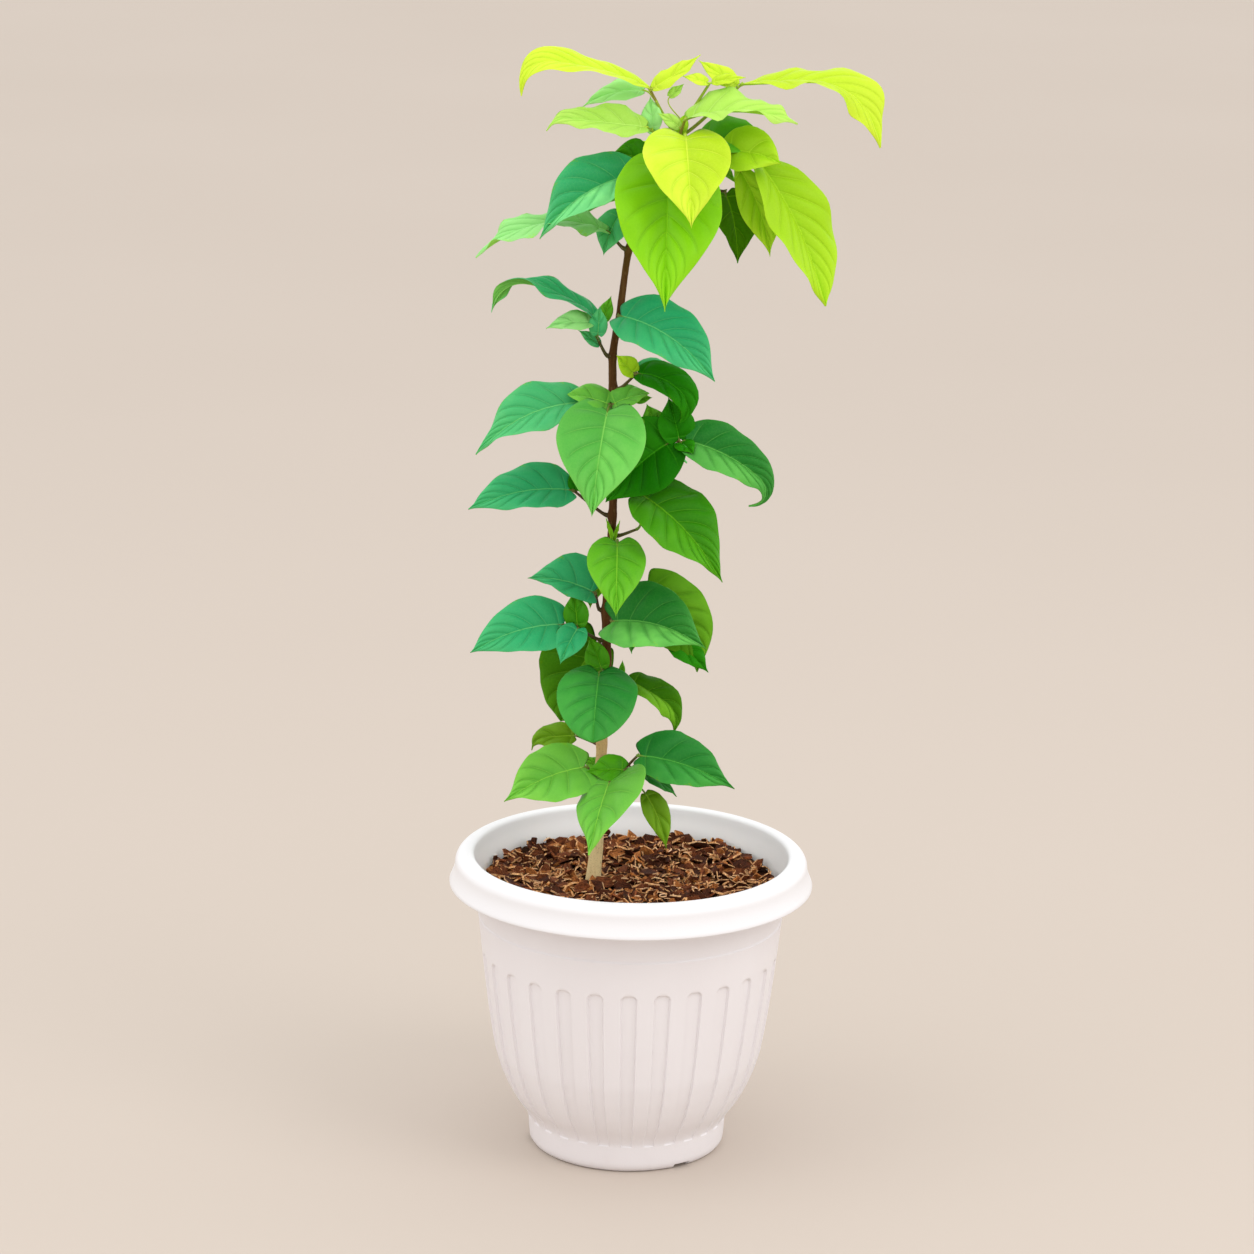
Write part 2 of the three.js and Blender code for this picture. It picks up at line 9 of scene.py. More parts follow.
import bpy
import numpy as np
from mathutils import Matrix, Vector, noise


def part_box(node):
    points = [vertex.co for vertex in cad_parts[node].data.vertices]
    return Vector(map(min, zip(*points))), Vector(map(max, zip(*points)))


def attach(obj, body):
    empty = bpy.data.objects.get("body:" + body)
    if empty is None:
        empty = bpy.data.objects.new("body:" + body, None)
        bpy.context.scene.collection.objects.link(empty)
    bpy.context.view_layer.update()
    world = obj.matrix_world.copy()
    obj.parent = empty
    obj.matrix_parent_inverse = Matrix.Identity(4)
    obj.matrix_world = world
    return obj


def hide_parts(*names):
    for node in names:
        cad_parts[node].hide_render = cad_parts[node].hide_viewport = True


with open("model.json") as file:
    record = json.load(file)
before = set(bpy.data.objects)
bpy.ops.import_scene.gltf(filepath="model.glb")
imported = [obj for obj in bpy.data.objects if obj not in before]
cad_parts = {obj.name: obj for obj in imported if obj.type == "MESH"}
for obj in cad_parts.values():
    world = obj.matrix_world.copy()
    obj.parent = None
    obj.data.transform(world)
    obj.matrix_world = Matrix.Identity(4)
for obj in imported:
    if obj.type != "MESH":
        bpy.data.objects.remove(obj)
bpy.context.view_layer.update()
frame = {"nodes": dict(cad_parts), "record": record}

MM = 0.001
POT_BOX = [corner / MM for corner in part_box("pot")]
TRUNK_BOX = [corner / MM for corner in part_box("trunk")]

# Pot.
RIM_RADIUS = POT_BOX[1].x
POT_HEIGHT = POT_BOX[1].z

# The wall, as (height, radius).
WALL_PROFILE = [(0, 66), (1.2, 68.2), (4, 70.2), (10, 70.8), (18.6, 71.4), (20, 71.5), (22, 71.9)]
WALL_PROFILE += [(28, 75.2), (36, 81.2), (46, 86.8), (58, 91.8), (72, 96.1), (88, 98.9), (104, 101.3)]
WALL_PROFILE += [(125, 104), (145, 106.2), (171.2, 109), (172, 108.4), (190, 110)]
FOOT_HEIGHT = 20

# The underside's ring, as (radius, height).
UNDERSIDE = [(40, 2.6), (60.5, 2.6), (61.6, 2.2), (62.2, 1), (62.4, 0.2), (62.7, 0)]

# Rim and wall.
SKIRT_BOTTOM = 195.5
SKIRT_THICKNESS = 2.4
SHOULDER_RADIUS = 126
SHOULDER_HEIGHT = 210
CREST_RADIUS = 118
MOUTH_RADIUS = 112.8
MOUTH_HEIGHT = 216.8
THROAT_RADIUS = 109.6
THROAT_HEIGHT = 206
NECK_HEIGHT = 188
WALL = 3.2

# The rim under its skirt, outside and in its mouth, as (radius, height).
SKIRT_EDGE = 0.7
RIM_HOLLOW = [(111.3, 200), (111.3, 207), (112.6, 211), (115.4, 213.6), (118.8, 214.3), (121.6, 212.8)]
RIM_HOLLOW += [(123.4, 209.6), (124.6, 204), (126.4, 199)]
RIM_OUTSIDE = [(129.2, 198.4), (128.1, 201), (127.1, 204), (126.3, 207)]
RIM_MOUTH = [(115.4, 217.9), (113.8, 217.6), (MOUTH_RADIUS, MOUTH_HEIGHT), (112.3, 215.6), (111.7, 213)]
RIM_MOUTH += [(THROAT_RADIUS, THROAT_HEIGHT), (108.2, 200)]

# The heights of the wall's rows below its flutes and above them, and of those inside.
FOOT_ROWS = [0, 0.5, 1.2, 2.4, 4, 7, 10, 14, 18.6, 19.6]
BAND_ROWS = [149, 153, 158, 164, 169, 170.4, 171.2, 171.45, 171.7, 172, 173, 176, 180, 184, NECK_HEIGHT]
INNER_ROWS = [194, NECK_HEIGHT, 167, 145, 120, 100, 80, 60, 46, 34, 26, FOOT_HEIGHT, 12, 8]

# Flutes. Their columns are shares of half a flute's width.
FLUTES = 28
FLUTE_COLUMNS = (0, 0.35, 0.6, 0.72, 0.8, 0.86, 0.92, 1, 1.09, 1.35, 1.7)
FLUTE_SHARE = 0.5
FLUTE_DEPTH = 1.9
FLUTE_TOP = 146.5
FLUTE_CORNER = 4.6
FLUTE_EDGE = 0.85
FIRST_FLUTE = -90

# Floor.
FLOOR_THICKNESS = 4
DRAIN_HOLES = 6
DRAIN_RADIUS = 5
DRAIN_CIRCLE = 42
NOTCHES = 3
NOTCH_WIDTH = 13
NOTCH_HEIGHT = 3.6
NOTCH_BEARING = -54.5

# Filling.
MULCH_RADIUS = 106.6
MULCH_LEVEL = 197.5
CHIPS = 1250
CHIP_LENGTH = (10, 24)
CHIP_WIDTH = (6, 13)
CHIP_THICKNESS = (0.8, 1.9)
CHIP_RISE = 9
CHIP_SEED = 41
FIBRES = 130
FIBRE_RADIUS = (0.3, 0.62)
FIBRE_SEED = 57
FIBRE_SIDES = 6
STRAND_LENGTH = (4, 13)
STRAND_LIFT = (3.4, 6)
LOOPS = 9
LOOP_RADIUS = (2.2, 3.6)
LOOP_LIFT = 5.4
BED_DROP = 3.4
BED_CLEAR = 0.4
BED_EDGE = 189
BED_BOTTOM = 186.4
STEM_MOUND = 4
STEM_MOUND_REACH = 18
REAR_HEAP = 2

# The share of the chips that lie flat, and the slant in radians and the lift of these and of the others.
FLAT_CHIPS = 0.35
CHIP_SLANT = (0.12, 0.58)
CHIP_LIFT = ((0, 1.6), (1.8, 4.8))

# Trunk: its lean from the soil to the tip, as (height, x, y), and its taper.
TRUNK_LEAN = [(TRUNK_BOX[0].z, -27.8, -5), (230, -24.6, -5), (300, -22.3, -5), (361, -19.7, -4)]
TRUNK_LEAN += [(396, -21, -4), (453, -17.8, -5), (527, -17.6, -5), (580, -19.2, -4), (605, -15.5, -4)]
TRUNK_LEAN += [(654, -9.4, -5), (678, -2.3, -5), (709, 10.8, -5), (738, 24.5, -5)]
TRUNK_FOOT_RADIUS = 5.2
TRUNK_MIDDLE_RADIUS = 2.9
TRUNK_TIP_RADIUS = 1.5
TRUNK_MIDDLE_HEIGHT = 375
FLARE_RADIUS = 2
FLARE_HEIGHT = 9
JOINT_REACH = 3.2
JOINT_SWELL = 0.3
CUSHION_SWELL = 0.8
TRUNK_LUMPS = 0.1
TRUNK_GRAIN = 0.14
TRUNK_SIDES = 30
TRUNK_STEP = 1.5

# Twigs, stalks and leaves.
TWIG_RADIUS = 1.15
TWIG_CLEAR = 0.34
KNEE_REACH = 1.6
KNEE_SHARE = 0.06
STALK_RADIUS = 0.9
STALK_TIP_RADIUS = 0.5
STALK_STUB = 2
STALK_SIDES = 10
TWIG_SIDES = 12
TIP_CLEAR = 0.3
BUD_LEAF = 25
BUD_SIZE = 2.2
BUD_SIDES = 8
RIB_SHARE = 0.34
LEAF_WIDEST = 0.33
SLIM_BASE = 2.6
OUTLINE_TAPER = 1.65
LEAF_FOLD = 12
LEAF_LEAN = 38
BASE_REACH = 0.012
HEART_REACH = 0.05
LOBE_REACH = 0.1
BLADE_THICKNESS = 0.36
VEIN_SPACING = 13
VEIN_RANGE = (0.05, 0.72)
VEIN_SWEEP = 1.55
VEIN_HALF_WIDTH = 0.26
VEIN_GROOVE = 0.2
VEIN_RIDGE = 0.16
RIB_HALF_WIDTH = (0.55, 0.12)
RIB_GROOVE = 0.2
RIB_RIDGE = (0.55, 0.15)
MARGIN_WIDTH = 0.3
RIPPLE_SHARE = (0.01, 0.02)
BULGE_SHARE = 0.03
PANEL_ROWS = 5
PUFF_SHARE = 0.12
COLUMNS = (0.1, 0.21, 0.33, 0.45, 0.57, 0.68, 0.78, 0.87, 0.94)

# Leaf tints as linear colours, and the tint of the veins that goes with each.
TINTS = {
    "yellow": ((0.56, 0.88, 0.008), (0.86, 0.97, 0.1)),
    "lime": ((0.4, 0.78, 0.004), (0.62, 0.9, 0.05)),
    "pale_lime": ((0.44, 0.84, 0.07), (0.66, 0.94, 0.24)),
    "lime_green": ((0.21, 0.64, 0.002), (0.38, 0.8, 0.02)),
    "mint": ((0.38, 0.94, 0.24), (0.54, 0.95, 0.36)),
    "spring": ((0.11, 0.52, 0.05), (0.34, 0.74, 0.09)),
    "grass": ((0.075, 0.45, 0.01), (0.28, 0.66, 0.04)),
    "fresh": ((0.075, 0.48, 0.06), (0.28, 0.7, 0.13)),
    # pale: a light green, lightened further by a painted sheen of reflected sky.
    "pale": ((0.3, 0.8, 0.22), (0.46, 0.88, 0.32)),
    "meadow": ((0.014, 0.25, 0.025), (0.14, 0.48, 0.08)),
    "leaf": ((0.03, 0.29, 0.002), (0.16, 0.48, 0.015)),
    "sea": ((0.035, 0.52, 0.18), (0.22, 0.68, 0.22)),
    "teal": ((0.012, 0.46, 0.17), (0.15, 0.6, 0.2)),
    "forest": ((0.01, 0.24, 0.03), (0.1, 0.44, 0.06)),
    "deep": ((0.008, 0.19, 0.001), (0.05, 0.34, 0.008)),
    "moss": ((0.045, 0.22, 0.001), (0.17, 0.42, 0.02)),
    "olive": ((0.13, 0.34, 0.003), (0.28, 0.5, 0.03)),
}
CROWN_TINTS = ("yellow", "lime", "pale_lime", "lime_green", "mint")


# What a leaf does where its row says nothing else.
HABIT = {
    "turn": 0,  # the roll of its blade, on from where the light has set it
    "twist": 0,  # how far the roll goes on to change, from near its hook to its tip
    "full": 0,  # how much its outer part rounds out
    "widest": LEAF_WIDEST,  # the share of its length at which it is widest
    "hook": (0, 0.5),  # how far its end bends down while its tip stays, and from which share
    "wave": 1,  # how wavy its margin is
    "fold": LEAF_FOLD,  # how steeply its halves rise
    "half": 0,  # how much paler its right half is painted than its left, looking from its foot to its tip: painted light on one half and painted shade on the other, and above 1 a painted sheen
    "bias": 0,  # how much wider its right half is than its left
}


def leaf(tint, blade, droop, stalk=None, along=1, **habit):
    """A leaf: its tint, its blade as (bearing, pitch, length, width), the droop of its midrib from base
    to tip, its stalk as (bearing, rise, length), and the share of the twig at which it stands."""
    return {**HABIT, "tint": tint, "blade": blade, "droop": droop, "stalk": stalk, "along": along, **habit}


# The shoots that the front view shows: (height on the trunk, twig as (bearing, rise, length)), and the
# leaves. The first leaf ends the twig. The top shoot goes on from the trunk's tip.
FRONT_SHOOTS = {
    "tier_1_left_shoot": [
        (276, (-135, 34, 16)),
        leaf("spring", (-153, -1, 66, 53), 30, wave=1.6, fold=16, bias=-0.17),
    ],
    "tier_1_right_shoot": [
        (270, (-33, 40, 41)),
        leaf("forest", (-5, -3, 71, 46), 30, half=0.6, wave=1.5),
        leaf(
            "spring", (-104, -20, 67, 58), 30, (-126, -18, 21),
            along=0.65, turn=-31, bias=-0.35, widest=0.29,
        ),
        leaf("leaf", (178, 4, 27, 25), 20, (-56, 40, 18), along=0.2),
        leaf("forest", (15, -21, 30, 16), 30, (10, -35, 14), along=0.7),
        leaf("olive", (-25, -51, 43, 21), 30, (-13, -41, 22.4), along=0.5),
    ],
    "tier_1_back_shoot": [
        (299, (144, 6, 22)),
        leaf("olive", (170, -3, 34, 21), 40, turn=15, hook=(70, 0.5), wave=2),
    ],
    "tier_2_front_shoot": [
        (355, (-107, 4, 12)),
        leaf("forest", (-94, -20, 62, 58), 35, (-107, 5, 6), full=1.05, widest=0.42, half=0.5),
        leaf("leaf", (150, 70, 24, 19), 10, along=0.9, turn=40),
    ],
    "tier_2_right_shoot": [
        (349, (-18, -8, 16)),
        leaf(
            "moss", (12, -12, 53, 30), 75,
            turn=6, twist=-30, hook=(60, 0.5), full=0.6, half=1.6, wave=1.6,
        ),
        leaf("grass", (80, 70, 12, 5), 0, along=0.6),
    ],
    "tier_2_back_shoot": [
        (363, (104, 12, 24)),
        leaf("moss", (168, -52, 65, 62), 30, turn=30, full=0.8, half=-0.8),
    ],
    "tier_3_left_shoot": [
        (397, (176, 58, 14)),
        leaf("teal", (-170, 31, 49, 36), 35, turn=14, widest=0.26, wave=2.4, bias=0.3),
    ],
    "tier_3_low_left_shoot": [
        (376, (-154, 24, 25)),
        leaf("teal", (-159, 5, 72, 44), 35, (174, 14, 10), turn=12, full=0.3, widest=0.29, wave=1.5),
        leaf("leaf", (121, 80, 25, 19), 10, turn=20),
        leaf("teal", (-121, -33, 31, 23), 20, (-89, 15, 5)),
    ],
    "tier_3_right_shoot": [
        (392, (-25, 30, 14)),
        leaf("moss", (-18, -32, 72, 57), 50, (32, 36, 25), hook=(40, 0.5), full=0.3, half=-1.4),
        leaf("meadow", (-25, 13, 74, 59), 43, (-103, -8, 14), along=0.6, turn=-10, fold=20, half=3),
        leaf("deep", (-10, -30, 36, 26), 20, (-5, -28, 40), along=0.9),
    ],
    "tier_4_front_shoot": [
        (445, (-76, 22, 19)),
        leaf("grass", (-90, -29, 62, 42), 30),
        leaf("grass", (-165, 74, 19, 8), 0, along=0.2, turn=-50),
        leaf("grass", (-30, 76, 17, 7), 0, along=0.3, turn=30),
    ],
    "tier_4_right_shoot": [
        (452, (-21, 18, 20)),
        leaf("leaf", (-34, -20, 87, 53), 35, (-60, 78, 26), half=0.5, wave=1.4),
    ],
    "tier_5_left_shoot": [
        (466, (-174, 33, 33)),
        leaf("teal", (-165, 9, 75, 43), 35, wave=1.8, full=0.2),
        leaf("deep", (134, 65, 14, 10), 10, along=0.9),
    ],
    "tier_5_right_shoot": [
        (528, (-15, -7, 50)),
        leaf("meadow", (-7, 36, 89, 43), 160, turn=-4, hook=(115, 0.65), half=1.3, fold=18, widest=0.28),
        leaf("deep", (130, 70, 30, 28), 10, along=0.95),
        leaf("deep", (-60, -10, 18, 15), 10, along=0.95),
        leaf("deep", (-175, -32, 62, 56), 25, (-150, 0, 5), along=0.9, turn=26, full=0.3, half=0.6),
        leaf("grass", (148, 72, 22, 22), 10, along=0.6),
    ],
    "tier_5_front_shoot": [
        (545, (-100, 10, 11)),
        leaf("fresh", (-100, -35, 84, 63), 30, (-101, -10, 11), half=-0.4),
        leaf("spring", (-178, 22, 29, 27), 20, turn=-8, full=0.6),
        leaf("spring", (5, 26, 26, 24), 20, turn=8, full=0.5),
        leaf("grass", (5, 21, 12, 7), 20, (24, 5, 19), turn=-30),
    ],
    "tier_5_upper_left_shoot": [
        (551, (-164, -13, 19)),
        leaf("sea", (-164, 3, 87, 44), 53, wave=2, fold=16),
    ],
    "tier_6_right_shoot": [
        (556, (-25, 35, 21)),
        leaf("deep", (-18, 21, 56, 31), 134, turn=6, hook=(60, 0.5), full=0.6),
        leaf("lime", (-166, 45, 18, 15), 0, turn=38),
        leaf("sea", (6, 8, 32, 16), 40, (60, 40, 7), along=0.9),
    ],
    "tier_6_left_shoot": [
        (579, (-150, 49, 21)),
        leaf(
            "teal", (-175, 62, 88, 28), 117, (59, 78, 11),
            turn=-18, hook=(75, 0.52), twist=-85, wave=2,
        ),
        leaf("grass", (39, 76, 18, 11), 10, (60, 47, 14), along=0.9),
        leaf("pale", (-170, 8, 32, 19), 30, (-131, 60, 14), along=0.85),
        leaf("sea", (61, 84, 20, 14), 0, (-95, 40, 9), along=0.75),
        leaf("sea", (180, 39, 18, 10), 10, along=0.5, turn=17),
    ],
    "tier_6_front_shoot": [
        (597, (-87, 46, 18)),
        leaf("teal", (-30, -4, 86, 50), 45, wave=1.6, full=0.3, half=0.4),
    ],
    "tier_7_left_shoot": [
        (654, (-167, 40, 17)),
        leaf("pale", (-169, 22, 97, 36), 66, (-114, 24, 8), turn=-22, wave=2.6, full=0.3),
        leaf("sea", (-142, -49, 30, 24), 30, (42, 65, 15), along=0.9),
    ],
    "tier_7_upper_left_shoot": [
        (690, (-140, 50, 12)),
        leaf("sea", (-156, -5, 84, 48), 50, (-116, 60, 9), fold=24, half=-2, wave=1.8),
        leaf("leaf", (-170, 22, 23, 26), 20, (70, 60, 19), turn=30),
    ],
    "tier_8_low_front_shoot": [
        (697, (-60, 43, 30)),
        leaf("lime_green", (-91, -36, 115, 76), 30, turn=8, wave=1.3),
    ],
    "tier_8_low_right_shoot": [
        (701, (12, -8, 50)),
        leaf("deep", (42, -61, 52, 38), 30, turn=40),
    ],
    "tier_8_right_shoot": [
        (716, (-4, 4, 48)),
        leaf(
            "lime", (-22, -46, 116, 57), 30, (0, 11, 12),
            turn=10, full=0.5, widest=0.5, wave=2.2, fold=16,
        ),
        leaf("grass", (-14, 16, 45, 38), 50, (9, 75, 13), along=0.5, wave=2, fold=18),
        leaf("lime", (-16, 10, 38, 38), 40, (-80, 26, 15), along=0.85, turn=-14, full=0.3),
        leaf("lime", (-4, -54, 67, 27), 30, (-30, -70, 6), turn=-48, twist=20, widest=0.48, fold=14),
    ],
    "tier_8_front_shoot": [
        (723, (-71, 26, 34)),
        leaf("yellow", (-86, -24, 84, 61), 30, turn=3, half=0.4),
    ],
    "tier_8_left_shoot": [
        (727, (-172, 33, 22)),
        leaf("pale_lime", (-170, 18, 70, 33), 40, (-90, 8, 7), turn=-8, hook=(60, 0.7), wave=1.8),
        leaf("mint", (107, 80, 22, 16), 10, along=0.75, turn=20),
        leaf("mint", (168, 36, 27, 10), 10, along=0.2),
    ],
    "tier_8_middle_shoot": [
        (730, (-65, 47, 22)),
        leaf("pale_lime", (-15, 20, 78, 42), 40, turn=20, wave=2.6, fold=18),
        leaf("pale_lime", (170, 40, 18, 10), 20, along=0.6, turn=20),
        leaf("lime", (60, 65, 15, 12), 10, along=0.3, turn=20),
    ],
    "tier_8_upper_left_shoot": [
        (734, (-177, 57, 36)),
        leaf(
            "yellow", (-170, 53, 103, 32), 113,
            turn=-20, twist=20, full=0.4, widest=0.5, hook=(90, 0.6),
        ),
        leaf("yellow", (0, 31, 40, 17), -10, wave=1.6),
        leaf("mint", (175, 3, 44, 22), 40, (133, 25, 14), along=0.75),
    ],
    "tier_8_far_right_shoot": [
        (735, (-1, 39, 54)),
        leaf(
            "yellow", (-6, 8, 107, 46), 63,
            turn=34, twist=-34, full=0.4, widest=0.55, hook=(80, 0.3), wave=2,
        ),
        leaf("yellow", (156, 28, 32, 17), 0, along=0.95),
    ],
    "tier_8_top_shoot": [
        (None, (-9, 59, 37)),
        leaf("yellow", (-174, 14, 17, 12), 0),
        leaf("yellow", (-5, 15, 23, 11), 10),
        leaf("pale_lime", (20, 40, 13, 9), 0, (-170, 62, 21), along=0.1),
    ],
}

# The shoots behind: (height, bearing of the hanging leaf, its length, bearing of a wing leaf beside it,
# and the tints of the three leaves).
REAR_SHOOTS = {
    "tier_1_rear_shoot": (267, 84, 52, 32, ("forest", "spring", "grass")),
    "tier_2_rear_shoot": (326, 84, 56, 36, ("teal", "grass", "grass")),
    "tier_3_rear_shoot": (378, 70, 45, 36, ("teal", "forest", "grass")),
    "tier_4_rear_shoot": (416, 98, 56, 148, ("grass", "sea", "leaf")),
    "tier_5_rear_shoot": (508, 84, 66, 30, ("teal", "sea", "grass")),
    "tier_6_rear_shoot": (536, 100, 58, 152, ("spring", "grass", "spring")),
    "tier_7_rear_shoot": (683, 66, 66, 146, ("sea", "teal", "grass")),
    "tier_8_rear_shoot": (707, 80, 72, 30, ("lime_green", "spring", "lime")),
}
REAR_TWIG = 20
REAR_RISE = 14
REAR_PITCH = -26
REAR_DROOP = 34
REAR_SHAPE = 0.62
REAR_SPREAD = 6
WING_SHARE = 0.82
WING_PITCH = 2
WING_LEAN = 15
WING_STALK = 8
BUD_SHARE = 0.4
BUD_PITCH = 40

# Twigs and leaf stalks of each kind of leaf: the colour and flush of the twig, then of the stalk.
STALK_TINTS = {
    "lime": (((0.3, 0.42, 0.03), (0.28, 0.16, 0.03)), ((0.46, 0.66, 0.05), (0.42, 0.42, 0.05))),
    "green": (((0.1, 0.085, 0.02), (0.075, 0.026, 0.012)), ((0.16, 0.3, 0.03), (0.16, 0.09, 0.03))),
    "teal": (((0.075, 0.06, 0.016), (0.065, 0.022, 0.012)), ((0.12, 0.24, 0.04), (0.13, 0.06, 0.02))),
}

# Bark colours up the trunk, as (share of the way up, colour).
STEM_TINTS = [
    (0.0, (0.78, 0.62, 0.33)),
    (0.06, (0.66, 0.48, 0.22)),
    (0.14, (0.5, 0.3, 0.13)),
    (0.24, (0.1, 0.038, 0.01)),
    (0.6, (0.075, 0.027, 0.007)),
    (0.9, (0.085, 0.033, 0.007)),
    (1.0, (0.12, 0.085, 0.01)),
]

# Pot, potting mix and floor.
POT_TINTS = {
    "wall": (0.8, 0.76, 0.775),
    "flow": (0.84, 0.81, 0.825),
    # The rim is painted whiter than the wall: painted light on its upturned crest.
    "rim": (0.83, 0.82, 0.835),
    # The inside of the mouth is painted whiter still: painted light.
    "inside": (0.97, 0.96, 0.975),
    "dust": (0.66, 0.54, 0.48),
}
EARTH_TINTS = ((0.016, 0.006, 0.003), (0.06, 0.022, 0.008))
FLOOR_TINTS = ((0.56, 0.485, 0.42), (0.59, 0.515, 0.45))

# Fibres: the colour of each kind, its darker streaks and its worn spots.
FIBRE_TINTS = {
    "pale_fibre": ((1, 0.64, 0.36), (0.85, 0.42, 0.19), (1, 0.82, 0.62)),
    "tan_fibre": ((0.66, 0.28, 0.095), (0.36, 0.13, 0.04), (0.9, 0.5, 0.22)),
}
# A chip's broken edge: paler inner bark, brightened further as a painted highlight.
BROKEN_AND_LIT_TINT = (1, 0.55, 0.24)
WORN_TINT = (1, 0.74, 0.46)

# Bark chips: the lighter and the darker colour of their faces.
CHIP_TINTS = {
    "dark": ((0.09, 0.024, 0.009), (0.022, 0.006, 0.002)),
    "brown": ((0.22, 0.062, 0.02), (0.055, 0.014, 0.005)),
    "red": ((0.46, 0.16, 0.04), (0.12, 0.034, 0.009)),
}

# Studio and camera, in metres and degrees, and the floor in millimetres. A light is (place, size, power).
FLOOR_HALF = 20000
LIGHTS = {
    "key": ((1.7, -1.25, 2.35), 1.6, 17),
    "fill": ((-1.7, -0.8, 2.7), 2.2, 10),
}
LIGHT_TARGET = Vector((0, 0, 0.4))
LIGHT_COLOUR = (1, 0.98, 0.985)
SKY_COLOUR = (1, 1, 1)
SKY_STRENGTH = 1.2
CAMERA_LENS = 120
CAMERA_SENSOR = 36
CAMERA_PLACE = Vector((-0.00606, -2.8504, 1.139))
CAMERA_PITCH = 14.832
CAMERA_ROLL = 1.0495
UP = np.array([0.0, 0.0, 1.0])


def heading(bearing, rise):
    """The unit direction at a bearing and a rise."""
    turn, lift = math.radians(bearing), math.radians(rise)
    return np.array([math.cos(turn) * math.cos(lift), math.sin(turn) * math.cos(lift), math.sin(lift)])


def unit(vector):
    return vector / np.linalg.norm(vector)


def mix(a, b, share):
    return a + (b - a) * share


def smooth(value, low, high):
    """0 below low, 1 above high and a soft step between."""
    share = np.clip((value - low) / (high - low), 0, 1)
    return share * share * (3 - 2 * share)


def chance(index):
    """A repeatable number from 0 to 1 for each index."""
    wave = math.sin(index * 127.1 + 311.7) * 43758.5453
    return wave - math.floor(wave)


class Line:
    """A smooth line through a few points, with no overshoot where they lie unevenly."""

    SAMPLES = 200

    def __init__(self, points):
        self.points = [np.array(point, float) for point in points]
        self.shares = np.linspace(0, 1, self.SAMPLES + 1)
        self.spots = np.array([self.at(share) for share in self.shares])
        steps = np.linalg.norm(np.diff(self.spots, axis=0), axis=1)
        self.lengths = np.concatenate([[0], np.cumsum(steps)])

    def at(self, share):
        spans = len(self.points) - 1
        span = min(int(share * spans), spans - 1)
        step = share * spans - span
        start, end = self.points[span], self.points[span + 1]
        before = self.points[span - 1] if span > 0 else 2 * start - end
        after = self.points[span + 2] if span + 2 <= spans else 2 * end - start
        gaps = [math.sqrt(np.linalg.norm(b - a)) for a, b in ((before, start), (start, end), (end, after))]
        leave = (start - before) / gaps[0] - (end - before) / (gaps[0] + gaps[1]) + (end - start) / gaps[1]
        arrive = (end - start) / gaps[1] - (after - start) / (gaps[1] + gaps[2]) + (after - end) / gaps[2]
        leave, arrive = leave * gaps[1], arrive * gaps[1]
        square = 3 * (end - start) - 2 * leave - arrive
        cube = 2 * (start - end) + leave + arrive
        return start + leave * step + square * step**2 + cube * step**3

    def along(self, part):
        """The point at a share of the line's length."""
        return self.at(np.interp(part * self.lengths[-1], self.lengths, self.shares))

    def way(self, share):
        near, far = max(share - 1e-4, 0), min(share + 1e-4, 1)
        return unit(self.at(far) - self.at(near))


class Shell:
    """Points, faces and finishes that are gathered into one mesh piece."""

    def __init__(self):
        self.points = []
        self.faces = []
        self.finishes = []
        self.marks = {}
        self.count = 0

    def add(self, points, faces, finish=0, **marks):
        """Adds points with their faces, a list of arrays of corners, under one finish each."""
        finishes = finish if isinstance(finish, list) else [finish] * len(faces)
        for face, choice in zip(faces, finishes):
            if len(face):
                self.faces.append(np.asarray(face) + self.count)
                self.finishes.append(np.broadcast_to(choice, len(face)))
        self.points.append(points)
        self.count += len(points)
        for name, values in marks.items():
            self.marks.setdefault(name, []).append(values)

    def piece(self, name, materials, smooth_faces=True):
        mesh = bpy.data.meshes.new(name)
        mesh.vertices.add(self.count)
        mesh.vertices.foreach_set("co", (np.concatenate(self.points) * MM).ravel())
        corners = np.concatenate([face.ravel() for face in self.faces])
        sizes = np.concatenate([np.full(len(face), face.shape[1]) for face in self.faces])
        mesh.loops.add(len(corners))
        mesh.loops.foreach_set("vertex_index", corners)
        mesh.polygons.add(len(sizes))
        mesh.polygons.foreach_set("loop_start", np.concatenate([[0], np.cumsum(sizes)[:-1]]))
        mesh.polygons.foreach_set("material_index", np.concatenate(self.finishes))
        mesh.polygons.foreach_set("use_smooth", np.full(len(sizes), smooth_faces))
        for mark, values in self.marks.items():
            made = mesh.attributes.new(mark, "FLOAT_VECTOR", "POINT")
            made.data.foreach_set("vector", np.concatenate(values).ravel())
        mesh.update(calc_edges=True)
        mesh.validate()
        for material in materials:
            mesh.materials.append(material)
        piece = bpy.data.objects.new(name, mesh)
        bpy.context.scene.collection.objects.link(piece)
        return piece


def solid(name, points, faces, finish, smooth_faces=True):
    """A piece of one skin and one finish."""
    shell = Shell()
    shell.add(points, faces)
    return shell.piece(name, [finish], smooth_faces)


def grid_faces(rows, columns, closed=False):
    """The four-cornered faces of a grid of points, closed across its columns for a tube."""
    across = columns if closed else columns - 1
    row, column = np.meshgrid(np.arange(rows - 1), np.arange(across), indexing="ij")
    here = (row * columns + column).ravel()
    next_one = (row * columns + (column + 1) % columns).ravel()
    return np.stack([here, next_one, next_one + columns, here + columns], axis=1)


def fan(centre, ring, flip=False):
    """Three-cornered faces from a centre to a closed ring of points."""
    after = np.roll(ring, -1)
    pair = (after, ring) if flip else (ring, after)
    return np.stack([np.full(len(ring), centre), *pair], axis=1)


def capped(rings, start, end):
    """The points and faces of a closed skin over rings of points, drawn together at its start and end."""
    sides = len(rings[0])
    skin = np.concatenate(rings)
    last = len(skin) - sides
    faces = [
        grid_faces(len(rings), sides, closed=True),
        fan(len(skin), np.arange(sides), flip=True),
        fan(len(skin) + 1, np.arange(last, last + sides)),
    ]
    return np.vstack([skin, start, end]), faces


